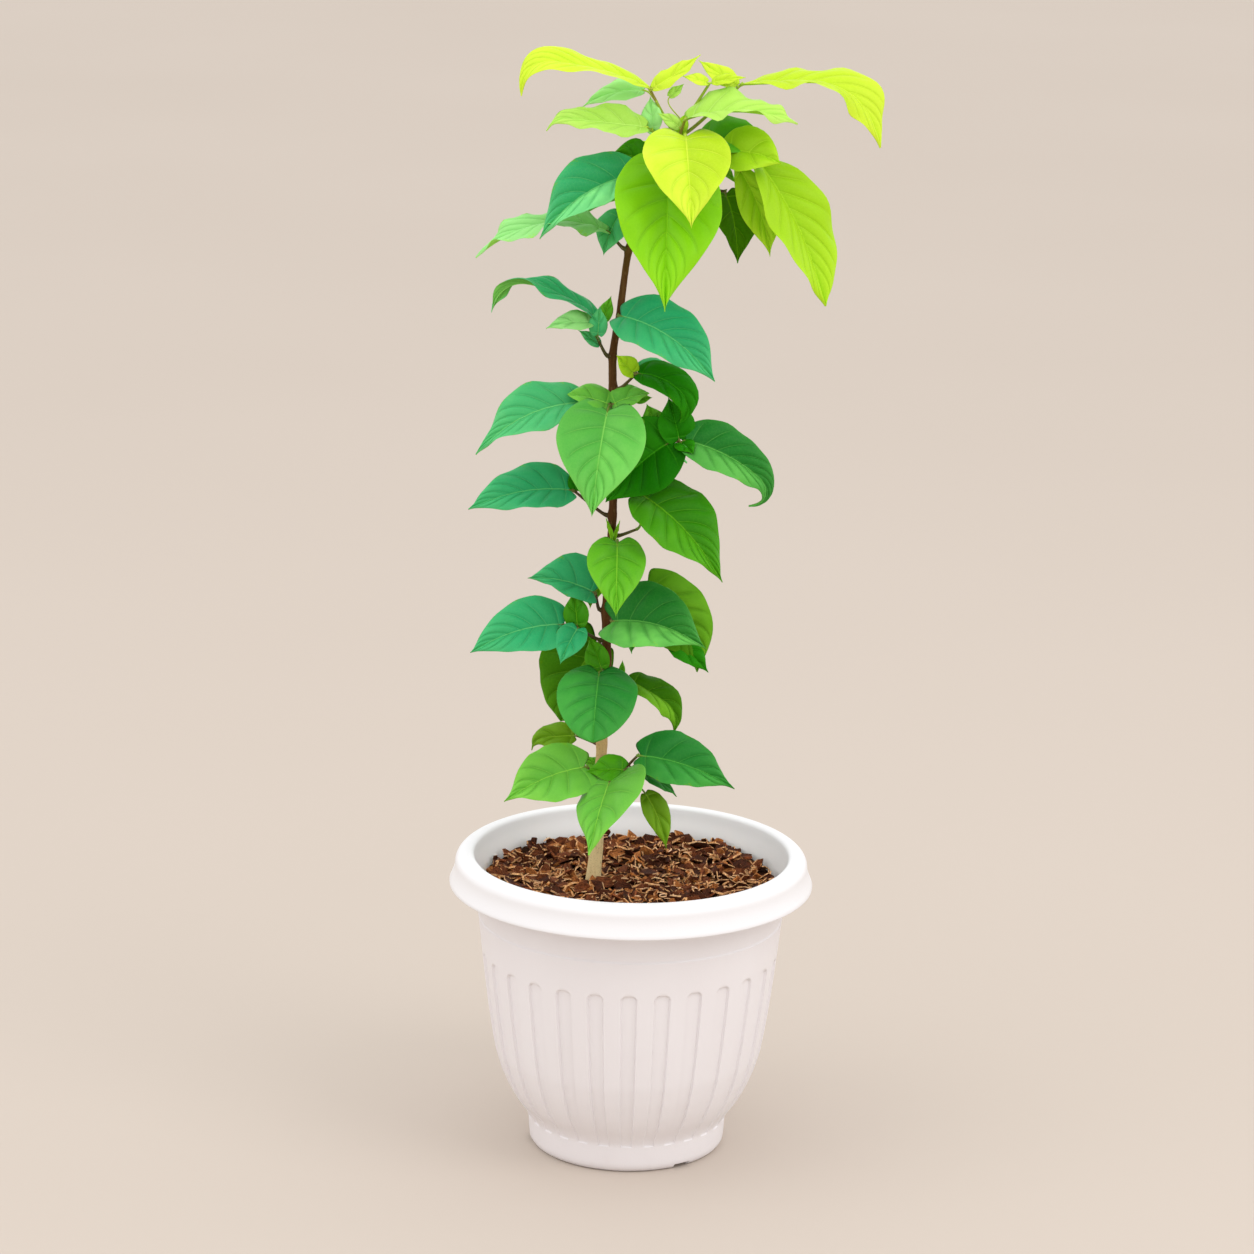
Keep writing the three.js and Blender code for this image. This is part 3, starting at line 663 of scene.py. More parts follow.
def tube(points, radii, sides):
    """A closed limb along points, with soft ends. Its frame turns with the line and never spins."""
    points = np.asarray(points, float)
    ways = np.gradient(points, axis=0)
    ways /= np.linalg.norm(ways, axis=1, keepdims=True)
    side = np.array([1.0, 0, 0])
    if abs(side @ ways[0]) > 0.9:
        side = np.array([0.0, 1.0, 0])
    turns = np.linspace(0, 2 * math.pi, sides, endpoint=False)
    rings = []
    for point, way, radius in zip(points, ways, radii):
        side = unit(side - way * (side @ way))
        spread = np.outer(np.cos(turns), side) + np.outer(np.sin(turns), np.cross(way, side))
        rings.append(point + spread * np.reshape(radius, (-1, 1)))
    start = points[0] - ways[0] * np.mean(radii[0]) * 0.5
    end = points[-1] + ways[-1] * np.mean(radii[-1]) * 0.5
    return capped(rings, start, end)


def weld(points, quads):
    """Joins points that lie together. Returns which points stay, the quads, the triangles that some
    quads become, and the rows of quads that each came from."""
    _, first, back = np.unique(np.round(points, 3), axis=0, return_index=True, return_inverse=True)
    corners = back.ravel()[quads]
    doubled = corners == np.roll(corners, -1, axis=1)
    whole = np.flatnonzero(doubled.sum(axis=1) == 0)
    pinched = np.flatnonzero(doubled.sum(axis=1) == 1)
    triangles = corners[pinched][~doubled[pinched]].reshape(-1, 3)
    return first, corners[whole], triangles, whole, pinched


# Shader nodes.
def sums(operation):
    """The two methods of one kind of sum, for a wire that comes first and one that comes last."""

    def first(wire, other):
        return wire.finish.add("ShaderNodeMath", {"operation": operation}, {0: wire, 1: other})

    def last(wire, other):
        return wire.finish.add("ShaderNodeMath", {"operation": operation}, {0: other, 1: wire})

    return first, last


class Wire:
    """A node's output, so that shader maths reads as plain sums."""

    __add__, __radd__ = sums("ADD")
    __sub__, __rsub__ = sums("SUBTRACT")
    __mul__, __rmul__ = sums("MULTIPLY")

    def __init__(self, finish, socket):
        self.finish = finish
        self.socket = socket


class Finish:
    """A material, with the few kinds of pattern that this plant and its pot are painted with."""

    def __init__(self, name, specular=0.5):
        self.material = bpy.data.materials.new(name)
        self.material.use_nodes = True
        self.nodes = self.material.node_tree.nodes
        self.shader = self.nodes["Principled BSDF"]
        self.shader.inputs["Specular IOR Level"].default_value = specular

    def feed(self, socket, value):
        if isinstance(value, Wire):
            self.material.node_tree.links.new(value.socket, socket)
        elif isinstance(value, tuple) and len(socket.default_value) == 4:
            socket.default_value = (*value, 1)
        else:
            socket.default_value = value

    def add(self, kind, settings=None, inputs=None, output=0):
        """One node: its type, its settings, and the values or links of its sockets."""
        node = self.nodes.new(kind)
        for name, value in (settings or {}).items():
            if name == "stops":
                self.set_stops(node.color_ramp, value)
            else:
                setattr(node, name, value)
        for socket, value in (inputs or {}).items():
            self.feed(node.inputs[socket], value)
        return Wire(self, node.outputs[output])

    def set_stops(self, scale, stops):
        while len(scale.elements) < len(stops):
            scale.elements.new(1)
        for element, (place, colour) in zip(scale.elements, stops):
            element.position = place
            element.color = (*colour, 1)

    def place(self):
        return self.add("ShaderNodeTexCoord", output=3)

    def mark(self, name):
        return self.add("ShaderNodeAttribute", {"attribute_name": name}, output=1)

    def parts(self, vector):
        """The X, Y and Z of a vector."""
        split = self.add("ShaderNodeSeparateXYZ", inputs={0: vector})
        return [Wire(self, output) for output in split.socket.node.outputs]

    def stretch(self, vector, scale):
        return self.add("ShaderNodeVectorMath", {"operation": "MULTIPLY"}, {0: vector, 1: scale})

    def noise(self, vector, scale, detail=3.0, roughness=0.55):
        inputs = {"Vector": vector, "Scale": scale, "Detail": detail, "Roughness": roughness}
        return self.add("ShaderNodeTexNoise", inputs=inputs)

    def cells(self, vector, scale, feature="F1"):
        return self.add("ShaderNodeTexVoronoi", {"feature": feature}, {"Vector": vector, "Scale": scale})

    def step(self, value, low, high, start=0.0, end=1.0):
        """start below low, end above high and a soft step between."""
        settings = {"interpolation_type": "SMOOTHSTEP"}
        return self.add("ShaderNodeMapRange", settings, {0: value, 1: low, 2: high, 3: start, 4: end})

    def near(self, value, low, high):
        """1 below low, 0 above high and a soft step between."""
        return self.step(value, low, high, 1, 0)

    def coats(self, colour, *coats):
        """A colour with others laid over it in turn, each as (share, colour)."""
        for share, over in coats:
            colour = self.add("ShaderNodeMix", {"data_type": "RGBA"}, {0: share, 6: colour, 7: over}, 2)
        return colour

    def paint(self, colour, roughness, relief=None, distance=0.0002, strength=1.0):
        """Feeds the shader. The relief's distance is in metres."""
        self.feed(self.shader.inputs["Base Color"], colour)
        self.feed(self.shader.inputs["Roughness"], roughness)
        if relief is not None:
            inputs = {"Strength": strength, "Distance": distance, "Height": relief}
            self.feed(self.shader.inputs["Normal"], self.add("ShaderNodeBump", inputs=inputs))
        return self.material


def shade(colour, amount):
    """A colour made darker or lighter by a factor."""
    return tuple(min(1.0, channel * amount) for channel in colour)


def between(first, second, share):
    """A colour between two others."""
    return tuple(mix(a, b, share) for a, b in zip(first, second))


def leaf_finish(tint, underside=False):
    """One side of a leaf, deeper toward its foot and paler toward its tip, with painted shade along its side
    veins and a paler margin, partly its own and partly painted light through its thin edge. One half is
    painted paler than the other as painted light and shade, and the palest part as a painted sheen. The mesh
    carries each point's place in millimetres, how far it is from the midrib, the nearest side vein and the
    margin, how far it is along and across the blade, and how pale it is painted: a random tone of its leaf
    plus that painted light. A leaf lets light through, so its underside is yellower."""
    body, vein = TINTS[tint]
    if underside:
        body = (mix(body[0], 0.45 * body[1], 0.5), body[1] * 1.04, body[2] * 0.3)
        vein = (mix(vein[0], 0.6 * vein[1], 0.5), vein[1], vein[2] * 0.6)
    side = "underside" if underside else "top"
    finish = Finish(f"{tint}_leaf_{side}", specular=0.03 if tint in ("deep", "moss") else 0.1)
    spot = finish.mark("blade")
    to_rib, to_vein, to_margin = finish.parts(finish.mark("veins"))
    along, across, pale = finish.parts(finish.mark("tone"))
    rib = finish.near(to_rib, 0.7, 1.5)
    fade = finish.near(across, 0.55, 0.98)
    side_vein = finish.near(to_vein, 0.5, 1.5) * fade
    # Painted shade in the grooves along the side veins.
    painted_groove_shade = finish.near(to_vein, 1, 11) * fade
    net = finish.near(finish.cells(spot, 0.42, "DISTANCE_TO_EDGE"), 0.02, 0.09)
    patches = finish.step(finish.noise(spot, 0.045, 3), 0.38, 0.66)
    grain = finish.noise(spot, 1.6, 2)
    young = finish.near(to_margin, 0, 6) * 0.16 + finish.step(along, 0.45, 1) * 0.45
    # The base colour and the first two coats paint light and shade: one half darker as painted shade, the
    # other paler as painted light, and a painted sheen where it is palest.
    colour = finish.coats(
        shade(body, 0.64),
        (finish.step(pale, 0, 1), between(body, vein, 0.48)),
        (finish.step(pale, 1, 1.6), shade(vein, 1.2)),
        (patches * 0.4, shade(body, 0.78)),
        (finish.near(along, 0, 0.5) * 0.4, shade(body, 0.62)),
        (young, between(body, vein, 0.55)),
        # painted shade along the side veins
        (painted_groove_shade * 0.34, shade(body, 0.58)),
        (net * 0.07 + grain * 0.08, vein),
        (side_vein * (0.6 if underside else 0.32), vein),
        (rib * (0.4 if tint in CROWN_TINTS else 0.8), vein),
        # A paler margin, partly the blade's own edge and partly painted light let through the thin edge.
        (finish.near(to_margin, 0.1, 0.6) * 0.3, vein),
    )
    roughness = grain * 0.14 + (0.55 if underside else 0.35) + rib * 0.08
    relief = net * (0.5 if underside else -0.3) + grain * 0.25
    return finish.paint(colour, roughness, relief, distance=0.0001, strength=0.7)


def stalk_finish(name, colour, flush):
    """A green stalk or twig, flushed with another colour in streaks along it."""
    finish = Finish(name, specular=0.2)
    spot = finish.place()
    streaks = finish.noise(finish.stretch(spot, (1, 1, 0.4)), 160, 3)
    blotches = finish.step(finish.noise(spot, 38, 2), 0.42, 0.62)
    pores = finish.near(finish.cells(spot, 700), 0.12, 0.3)
    tone = finish.coats(
        colour,
        (blotches * 0.75, flush),
        (streaks * 0.35, shade(colour, 0.55)),
        (pores * 0.25, (0.62, 0.56, 0.36)),
    )
    return finish.paint(tone, streaks * 0.2 + 0.4, streaks + pores * 0.6, distance=0.0001)


def stem_finish():
    """Young bark: pale khaki at the foot, maroon brown above, and green toward the tip."""
    finish = Finish("stem_bark", specular=0.08)
    spot = finish.place()
    height = finish.parts(spot)[2] * 1000
    wander = finish.noise(spot, 30, 2) * 60 - 30
    level = finish.step(height + wander, 190, 740)
    streaks = finish.noise(finish.stretch(spot, (1, 1, 0.12)), 420, 4)
    rough = finish.noise(spot, 900, 3)
    pores = finish.near(finish.cells(finish.stretch(spot, (1, 1, 0.55)), 300), 0.16, 0.3)
    tone = finish.coats(
        finish.add("ShaderNodeValToRGB", {"stops": STEM_TINTS}, {0: level}),
        (finish.step(streaks, 0.4, 0.75) * 0.22, (0.28, 0.15, 0.06)),
        (finish.step(rough, 0.5, 0.75) * 0.35, (0.045, 0.02, 0.008)),
        (pores * 0.12, (0.36, 0.22, 0.1)),
    )
    relief = streaks * 0.8 + rough * 0.35 + pores * 0.7
    return finish.paint(tone, rough * 0.25 + 0.5, relief, distance=0.0003)


def pot_finish():
    """Satin white moulded plastic, with faint flow marks and a little dust at its foot. The rim is painted
    whiter than the wall as painted light on its upturned crest, and the inside of the mouth whiter still as
    painted light."""
    finish = Finish("white_plastic", specular=0.5)
    spot = finish.place()
    flow = finish.noise(finish.stretch(spot, (1, 1, 0.35)), 22, 3)
    grain = finish.noise(spot, 900, 2)
    dust = finish.step(finish.noise(spot, 120, 4), 0.5, 0.8)
    x, y, z = finish.parts(spot)
    height = z * 1000
    low = finish.near(height, 0, 20)
    # Where the inside of the mouth is painted whiter, as painted light.
    inside = finish.near((x * x + y * y) * 1000, 11.9, 12.7) * finish.step(height, 186, 196)
    tone = finish.coats(
        POT_TINTS["wall"],
        (flow, POT_TINTS["flow"]),
        # painted light: the rim whiter than the wall
        (finish.step(height, 188, 200), POT_TINTS["rim"]),
        # painted light: the inside of the mouth whiter still
        (inside, POT_TINTS["inside"]),
        (dust * low * 0.1, POT_TINTS["dust"]),
    )
    return finish.paint(tone, flow * 0.1 + 0.3 + low * 0.1, grain + flow, distance=0.00006)


def earth_finish():
    finish = Finish("potting_mix", specular=0.05)
    spot = finish.place()
    crumbs = finish.cells(spot, 260)
    lumps = finish.noise(spot, 130, 5)
    tone = finish.coats(EARTH_TINTS[0], (lumps, EARTH_TINTS[1]))
    return finish.paint(tone, lumps * 0.2 + 0.75, crumbs + lumps, distance=0.002)


def chip_finish(name, body, dark, pale):
    """Shredded bark: mottled faces in long grain, with paler worn spots."""
    finish = Finish(name, specular=0.12)
    spot = finish.mark("grain")
    fibre = finish.noise(finish.stretch(spot, (0.3, 1.7, 1)), 0.8, 5)
    mottle = finish.noise(spot, 1.1, 4, 0.7)
    worn = finish.step(finish.noise(spot, 0.1, 3), 0.52, 0.66)
    mottled = finish.step(fibre * 0.5 + mottle * 0.5, 0.38, 0.6)
    tone = finish.coats(dark, (mottled, body), (worn * 0.3, pale))
    return finish.paint(tone, fibre * 0.2 + 0.65, fibre + mottle, distance=0.0006)


def floor_finish():
    finish = Finish("pale_floor", specular=0.1)
    haze = finish.noise(finish.place(), 0.8, 2)
    return finish.paint(finish.coats(FLOOR_TINTS[0], (haze, FLOOR_TINTS[1])), 0.9)


# Trunk.
TRUNK_LINE = Line([(x, y, height) for height, x, y in TRUNK_LEAN])
TRUNK_FOOT = TRUNK_LEAN[0][0]
TRUNK_TIP = TRUNK_LEAN[-1][0]


def trunk_radius(height):
    flare = FLARE_RADIUS * math.exp(-(height - TRUNK_FOOT) / FLARE_HEIGHT)
    if height < TRUNK_MIDDLE_HEIGHT:
        share = (height - TRUNK_FOOT) / (TRUNK_MIDDLE_HEIGHT - TRUNK_FOOT)
        return mix(TRUNK_FOOT_RADIUS, TRUNK_MIDDLE_RADIUS, share) + flare
    share = (height - TRUNK_MIDDLE_HEIGHT) / (TRUNK_TIP - TRUNK_MIDDLE_HEIGHT)
    return mix(TRUNK_MIDDLE_RADIUS, TRUNK_TIP_RADIUS, share**3)


def trunk_share(height):
    """The share of the trunk's line that lies below a height."""
    return float(np.interp(height, TRUNK_LINE.spots[:, 2], TRUNK_LINE.shares))


def make_stem():
    """The trunk, with a swelling at each joint and a cushion under each twig."""
    steps = round((TRUNK_TIP - TRUNK_FOOT) / TRUNK_STEP)
    points = [TRUNK_LINE.at(trunk_share(height)) for height in np.linspace(TRUNK_FOOT, TRUNK_TIP, steps)]
    turns = np.linspace(0, 360, TRUNK_SIDES, endpoint=False)
    joints = [(height, twig[0]) for height, twig, _ in SHOOTS.values() if height]
    radii = []
    for point in points:
        base = trunk_radius(point[2])
        ring = np.full(TRUNK_SIDES, base)
        for height, bearing in joints:
            near = math.exp(-(((point[2] - height) / JOINT_REACH) ** 2))
            toward = np.clip(np.cos(np.radians(turns - bearing)), 0, 1) ** 3
            ring = ring + near * (JOINT_SWELL + CUSHION_SWELL * toward)
        for j, turn in enumerate(turns):
            way = heading(turn, 0) * base
            spot = (way[0] * 0.5, way[1] * 0.5, point[2] * 0.045)
            fine = (way[0] * 1.3, way[1] * 1.3, point[2] * 0.3)
            ring[j] += base * TRUNK_LUMPS * noise.noise(spot) + TRUNK_GRAIN * noise.noise(fine)
        radii.append(ring)
    return solid("stem", *tube(points, radii, TRUNK_SIDES), stem_finish())


# Leaves. The columns across a blade are shares of its half width, the first and last ones beside the
# midrib and the margin.
RIB_SPAN = 0.03
MARGIN_SPAN = 0.98
SPANS = [RIB_SPAN, *COLUMNS, MARGIN_SPAN, 1.0]
ACROSS = np.array([-span for span in SPANS[::-1]] + [0.0] + SPANS)
SPAN = np.abs(ACROSS)[None, :]
HAND = np.sign(ACROSS)[None, :]

# How strongly the rows sweep forward at each column.
SWEEP = 1 + VEIN_SWEEP * (0.8 * SPAN + 0.2 * SPAN**3)


def outline(share, heart, full, widest):
    """A blade's half width at shares of its length, as a share of the greatest."""
    back = (widest - share) / (widest + BASE_REACH + HEART_REACH * heart)
    out = np.clip((share - widest) / (1 - widest), 0, 1)
    rounded = np.clip(1 - back * back, 0, 1) ** (0.5 + SLIM_BASE * (widest - LEAF_WIDEST))
    drawn = (1 - out * out) ** (OUTLINE_TAPER - full)
    return np.where(share < widest, rounded, drawn)


def base_slope(heart, widest):
    """How fast the outline widens at the blade's foot."""
    reach = widest + BASE_REACH + HEART_REACH * heart
    back = widest / reach
    power = 0.5 + SLIM_BASE * (widest - LEAF_WIDEST)
    return 2 * power * back / reach * (1 - back * back) ** (power - 1)


def blade_rows(length):
    """The rows across a blade as shares of its midrib, with three on each side vein, and the shares at
    which the side veins leave the midrib."""
    count = int(np.clip(round(length / VEIN_SPACING), 3, 7))
    veins = [mix(*VEIN_RANGE, (i / (count - 1)) ** 1.05) for i in range(count)]
    half = min(VEIN_HALF_WIDTH / length, 0.009)
    rows = [0.0]
    for vein in veins:
        rows += list(np.linspace(rows[-1], vein - half, PANEL_ROWS + 1)[1:])
        rows += [vein, vein + half]
    rows += list(1 - (1 - rows[-1]) * np.linspace(1, 0, PANEL_ROWS + 6)[1:] ** 1.3)
    return np.array(rows), np.array(veins), half


def blade_plan(spec, rows, draw):
    """The flat plan of a blade: for each point the share of the midrib that it lies beside, how far the
    margin and the midrib's edge are from the midrib's middle there, how far the point is from it, and how
    far it is pulled back toward the foot. The rows sweep forward as the side veins do, and the lowest ones
    round out into the lobes."""
    _, _, length, width = spec["blade"]
    widest = spec["widest"]
    heart = float(np.clip((width / length - 0.4) * 2, 0.2, 0.9))
    row = rows[:, None]
    share = 1 - (1 - row) ** SWEEP
    lopsided = 1 + HAND * (spec["bias"] + draw.uniform(-0.04, 0.04))
    reach = width / 2 * outline(share, heart, spec["full"], widest) * lopsided * (row < 1)
    rib = np.minimum(mix(*RIB_HALF_WIDTH, share), reach * 0.3) * min(1, length / 45)
    beside = np.where(SPAN == RIB_SPAN, rib, SPAN * reach)
    beside = np.where(SPAN == MARGIN_SPAN, reach - np.minimum(MARGIN_WIDTH, reach * 0.2), beside)
    back = heart * LOBE_REACH * length
    foot_reach = width / 2 * float(outline(0.0, heart, spec["full"], widest))
    slope = (length + 2 * back / widest) / (width / 2 * base_slope(heart, widest))
    lobe = (slope * foot_reach + back) * SPAN**2 * (1 - SPAN) * np.clip(1 - row / 0.1, 0, 1) ** 2
    behind = -SPAN * back * np.clip(1 - share / widest, 0, 1) ** 2 - lobe
    return share, reach, rib, beside, behind


def blade_lift(spec, rows, veins, half, plan, draw):
    """How far the top and the underside stand off the flat plan: the fold, the puffed panels between the
    side veins, the grooves and ridges of the veins, and a wavy margin. It also gives each point's distance
    from its side vein, in half widths of the vein."""
    _, _, length, width = spec["blade"]
    share, _, rib, beside, _ = plan
    row = rows[:, None]
    stops = np.concatenate([[0], veins, [1]])
    panel = np.interp(row, stops, np.arange(len(stops)))
    panel_width = np.diff(stops, append=1)[np.minimum(panel.astype(int), len(veins))] * length
    stretch = SWEEP * (1 - row) ** (SWEEP - 1)
    inside = np.sin(math.pi * SPAN**0.8) * smooth(row, 0, 0.03) * smooth(row, 0.97, 0.6)
    calm = 0.65 if spec["tint"] in CROWN_TINTS else 1
    puff = np.sin(math.pi * (panel % 1)) ** 0.8 * panel_width * np.minimum(stretch, 1.3) * inside
    near = np.abs(row - veins[None, :]).min(axis=1, keepdims=True) * length * np.minimum(stretch, 1)
    vein = near / (half * length * (1.2 - 0.75 * SPAN))
    on_vein = np.exp(-(vein**2)) * smooth(SPAN, 0.97, 0.75) * smooth(row, 0, 0.02)
    phase, waves = draw.uniform(0, 6.3), draw.uniform(1.5, 2.4)
    ripple = np.sin(share * waves * 2 * math.pi + phase + HAND * 1.3) * SPAN**2.2
    ripple = ripple + 0.4 * np.sin(share * waves * 15 + phase * 2 + HAND * 2) * SPAN**4
    ripple = ripple * length * draw.uniform(*RIPPLE_SHARE) * spec["wave"]
    ripple = ripple * smooth(share, 0, 0.2) * smooth(share, 1, 0.8)
    bulge = width * BULGE_SHARE * np.sin(math.pi * SPAN) * smooth(row, 0, 0.1)
    lift = beside * math.sin(math.radians(spec["fold"])) + puff * PUFF_SHARE * calm + ripple + bulge
    thick = BLADE_THICKNESS * (1 - SPAN**6) * smooth(row, 0, 0.01) * smooth(row, 1, 0.97)
    ends = smooth(row, 0, 0.02) * smooth(row, 1, 0.8)
    on_rib = np.exp(-((beside / np.maximum(rib, 0.01)) ** 2)) * ends
    above = lift + thick / 2 - on_vein * VEIN_GROOVE * calm - on_rib * RIB_GROOVE
    below = lift - thick / 2 - on_vein * VEIN_RIDGE - on_rib * mix(*RIB_RIDGE, row)
    return above, below, vein


def midrib(spec):
    """The midrib's path as (out, rise) points and its slope at each. It droops evenly. Where its end hooks
    down instead, the path is turned and stretched to keep its tip in place."""
    _, pitch, length, _ = spec["blade"]
    hook, start = spec["hook"]
    even = max(spec["droop"] - hook, 0)
    steps = np.linspace(0, 1, 201)
    paths = []
    for droop in (spec["droop"] * steps, even * steps + hook * smooth(steps, start, 1)):
        slopes = np.radians(pitch - droop)
        path = np.exp(1j * (slopes[1:] + slopes[:-1]) / 2) * length / 200
        paths.append(np.concatenate([[0], np.cumsum(path)]))
    if not hook:
        return steps, paths[0], np.radians(pitch - spec["droop"] * steps)
    change = paths[0][-1] / paths[1][-1]
    return steps, paths[1] * change, slopes + np.angle(change)


def midrib_frame(foot, spec, share, draw):
    """The midrib's place and directions at shares of its length."""
    steps, path, slopes = midrib(spec)
    turn = math.radians(spec["blade"][0])
    twist = math.radians(draw.uniform(-5, 5)) * share
    twist = twist + math.radians(spec["twist"]) * smooth(share, spec["hook"][1] - 0.2, 1)
    roll = (math.radians(spec["turn"] - LEAF_LEAN * math.cos(turn)) + twist)[..., None]
    level = np.array([math.sin(turn), -math.cos(turn), 0])
    flat = np.array([math.cos(turn), math.sin(turn), 0])
    slope = np.interp(share, steps, slopes)[..., None]
    way = np.cos(slope) * flat + np.sin(slope) * UP
    upright = np.cos(slope) * UP - np.sin(slope) * flat
    side = np.cos(roll) * level + np.sin(roll) * upright
    normal = np.cos(roll) * upright - np.sin(roll) * level
    out = np.interp(share, steps, path.real)[..., None]
    rise = np.interp(share, steps, path.imag)[..., None]
    return foot + out * flat + rise * UP, way, side, normal


def add_blade(shell, foot, spec, seed, finish):
    """One leaf's blade as a closed skin: a top and an underside that meet at the margin."""
    draw = random.Random(seed)
    length = spec["blade"][2]
    rows, veins, half = blade_rows(length)
    plan = blade_plan(spec, rows, draw)
    share, reach, rib, beside, behind = plan
    above, below, vein = blade_lift(spec, rows, veins, half, plan, draw)
    ridge, way, side, normal = midrib_frame(foot, spec, share, draw)
    folded = (HAND * beside * math.cos(math.radians(spec["fold"])))[..., None]
    flat = ridge + side * folded + way * behind[..., None]
    size = share.size
    points = np.concatenate([(flat + normal * lift[..., None]).reshape(size, 3) for lift in (above, below)])

    # Where each point is on the leaf, for the finish.
    offset = draw.uniform(0, 400)
    spots = np.stack([HAND * beside + offset, share * length + behind, 0 * share + offset], axis=-1)
    marks = np.stack([beside / np.maximum(rib, 0.01), vein, reach - beside], axis=-1)
    # How pale each point is painted: a random tone for the leaf, plus painted light that pales one half and
    # painted shade that darkens the other.
    pale = 0.5 + spec["half"] * HAND * 0.5 * smooth(beside, 0, 1.5) + draw.uniform(-0.15, 0.15)
    tones = np.stack([share, 0 * share + SPAN, 0 * share + pale], axis=-1)

    upper = grid_faces(len(rows), len(ACROSS))
    lower = upper[:, ::-1] + size
    keep, quads, triangles, whole, pinched = weld(points, np.concatenate([upper, lower]))
    choice = np.repeat(finish, len(upper))
    kept = {
        name: np.tile(values.reshape(size, 3), (2, 1))[keep]
        for name, values in (("blade", spots), ("veins", marks), ("tone", tones))
    }
    shell.add(points[keep], [quads, triangles], [choice[whole], choice[pinched]], **kept)


def add_stalk(shell, root, leave, foot, spec, finish):
    """A leaf stalk: it leaves its twig with a small swelling, and runs on under the blade."""
    bearing, _, length, _ = spec["blade"]
    arrive = heading(bearing, math.degrees(midrib(spec)[2][0]))
    gap = np.linalg.norm(foot - root)
    reach = min(length * RIB_SHARE * 0.3, 7)
    handle = gap * 0.35
    shares = np.linspace(0, 1, max(6, round(gap / 1.5)))
    start = root - leave * min(0.8, gap * 0.3)
    curve = [start, root + leave * handle, foot - arrive * handle, foot]
    points = [bezier(curve, share) for share in shares]
    below = np.cross(heading(bearing - 90, 0), arrive)
    for step in (0.3, 0.65, 1):
        drop = math.radians(spec["droop"]) * step * reach / length / 2
        away = arrive * math.cos(drop) - below * math.sin(drop)
        points.append(foot + away * reach * step - below * (0.25 + 0.1 * step))
    radii = []
    for share in shares:
        knob = 0.3 * math.exp(-((share * gap / 1.6) ** 2))
        cushion = 0.22 * math.exp(-(((1 - share) * gap / 2.2) ** 2))
        radii.append(mix(STALK_RADIUS, STALK_TIP_RADIUS + 0.12, share) + (knob + cushion))
    scale = min(1, 0.45 + length / 110)
    radii = [radius * scale for radius in radii + [0.5, 0.4, 0.22]]
    shell.add(*tube(points, radii, STALK_SIDES), finish)


def bezier(curve, share):
    start, first, second, end = curve
    rest = 1 - share
    return rest**3 * start + 3 * rest**2 * share * first + 3 * rest * share**2 * second + share**3 * end


def add_twig(shell, line, start, first, finish):
    """A twig, from inside the trunk's bark to its tip, a little thicker where a leaf stands."""
    length = line.lengths[-1]
    parts = np.linspace(0, 1, max(8, round(length / 1.6)))
    points = [start - first * 1.3] + [line.along(part) for part in parts]
    radii = [TWIG_RADIUS * 1.9]
    for part in parts:
        swell = 0.75 * math.exp(-((part * length / 2.4) ** 2))
        radii.append(mix(TWIG_RADIUS * 1.12, STALK_RADIUS, part) * (1 + swell * 0.6))
    shell.add(*tube(points, radii, TWIG_SIDES), finish)


def add_bud(shell, root, way, size, finish):
    """A small pointed bud in the corner of a stalk."""
    shares = np.array([0, 0.2, 0.45, 0.7, 0.88, 1])
    points = [root + way * size * share for share in shares]
    radii = np.array([0.26, 0.36, 0.36, 0.24, 0.12, 0.04]) * size
    shell.add(*tube(points, radii, BUD_SIDES), finish)


def rear_leaves(bearing, length, wing, tints, draw):
    """A hanging leaf, a wing leaf and a bud, varied by a seeded rule."""
    spread = mix(-REAR_SPREAD, REAR_SPREAD, draw)
    side = length * WING_SHARE
    bud = length * BUD_SHARE
    turn = (LEAF_LEAN + WING_LEAN) * math.cos(math.radians(wing))
    wing_blade = (wing, WING_PITCH - REAR_SPREAD * draw, side, side * REAR_SHAPE)
    return [
        leaf(tints[0], (bearing + spread, REAR_PITCH, length, length * REAR_SHAPE), REAR_DROOP),
        leaf(tints[1], wing_blade, REAR_DROOP, (wing, REAR_RISE, WING_STALK), 0.7, turn=turn),
        leaf(tints[2], (2 * bearing - wing, BUD_PITCH, bud, bud * REAR_SHAPE), REAR_DROOP, along=0.85),
    ]


def all_shoots():
    """Every shoot as (height, twig, leaves), the ones behind by their rule."""
    shoots = {name: (*place, leaves) for name, (place, *leaves) in FRONT_SHOOTS.items()}
    for index, (name, (height, bearing, length, wing, tints)) in enumerate(REAR_SHOOTS.items()):
        leaves = rear_leaves(bearing, length, wing, tints, chance(index + 3))
        shoots[name] = (height, (bearing, REAR_RISE, REAR_TWIG), leaves)
    return shoots


SHOOTS = all_shoots()


def side_of(name):
    """The side of the crown that a shoot is on, from its name."""
    sides = [side for side in ("left", "right", "rear") if f"_{side}_" in name]
    return sides[0] if sides else "front"


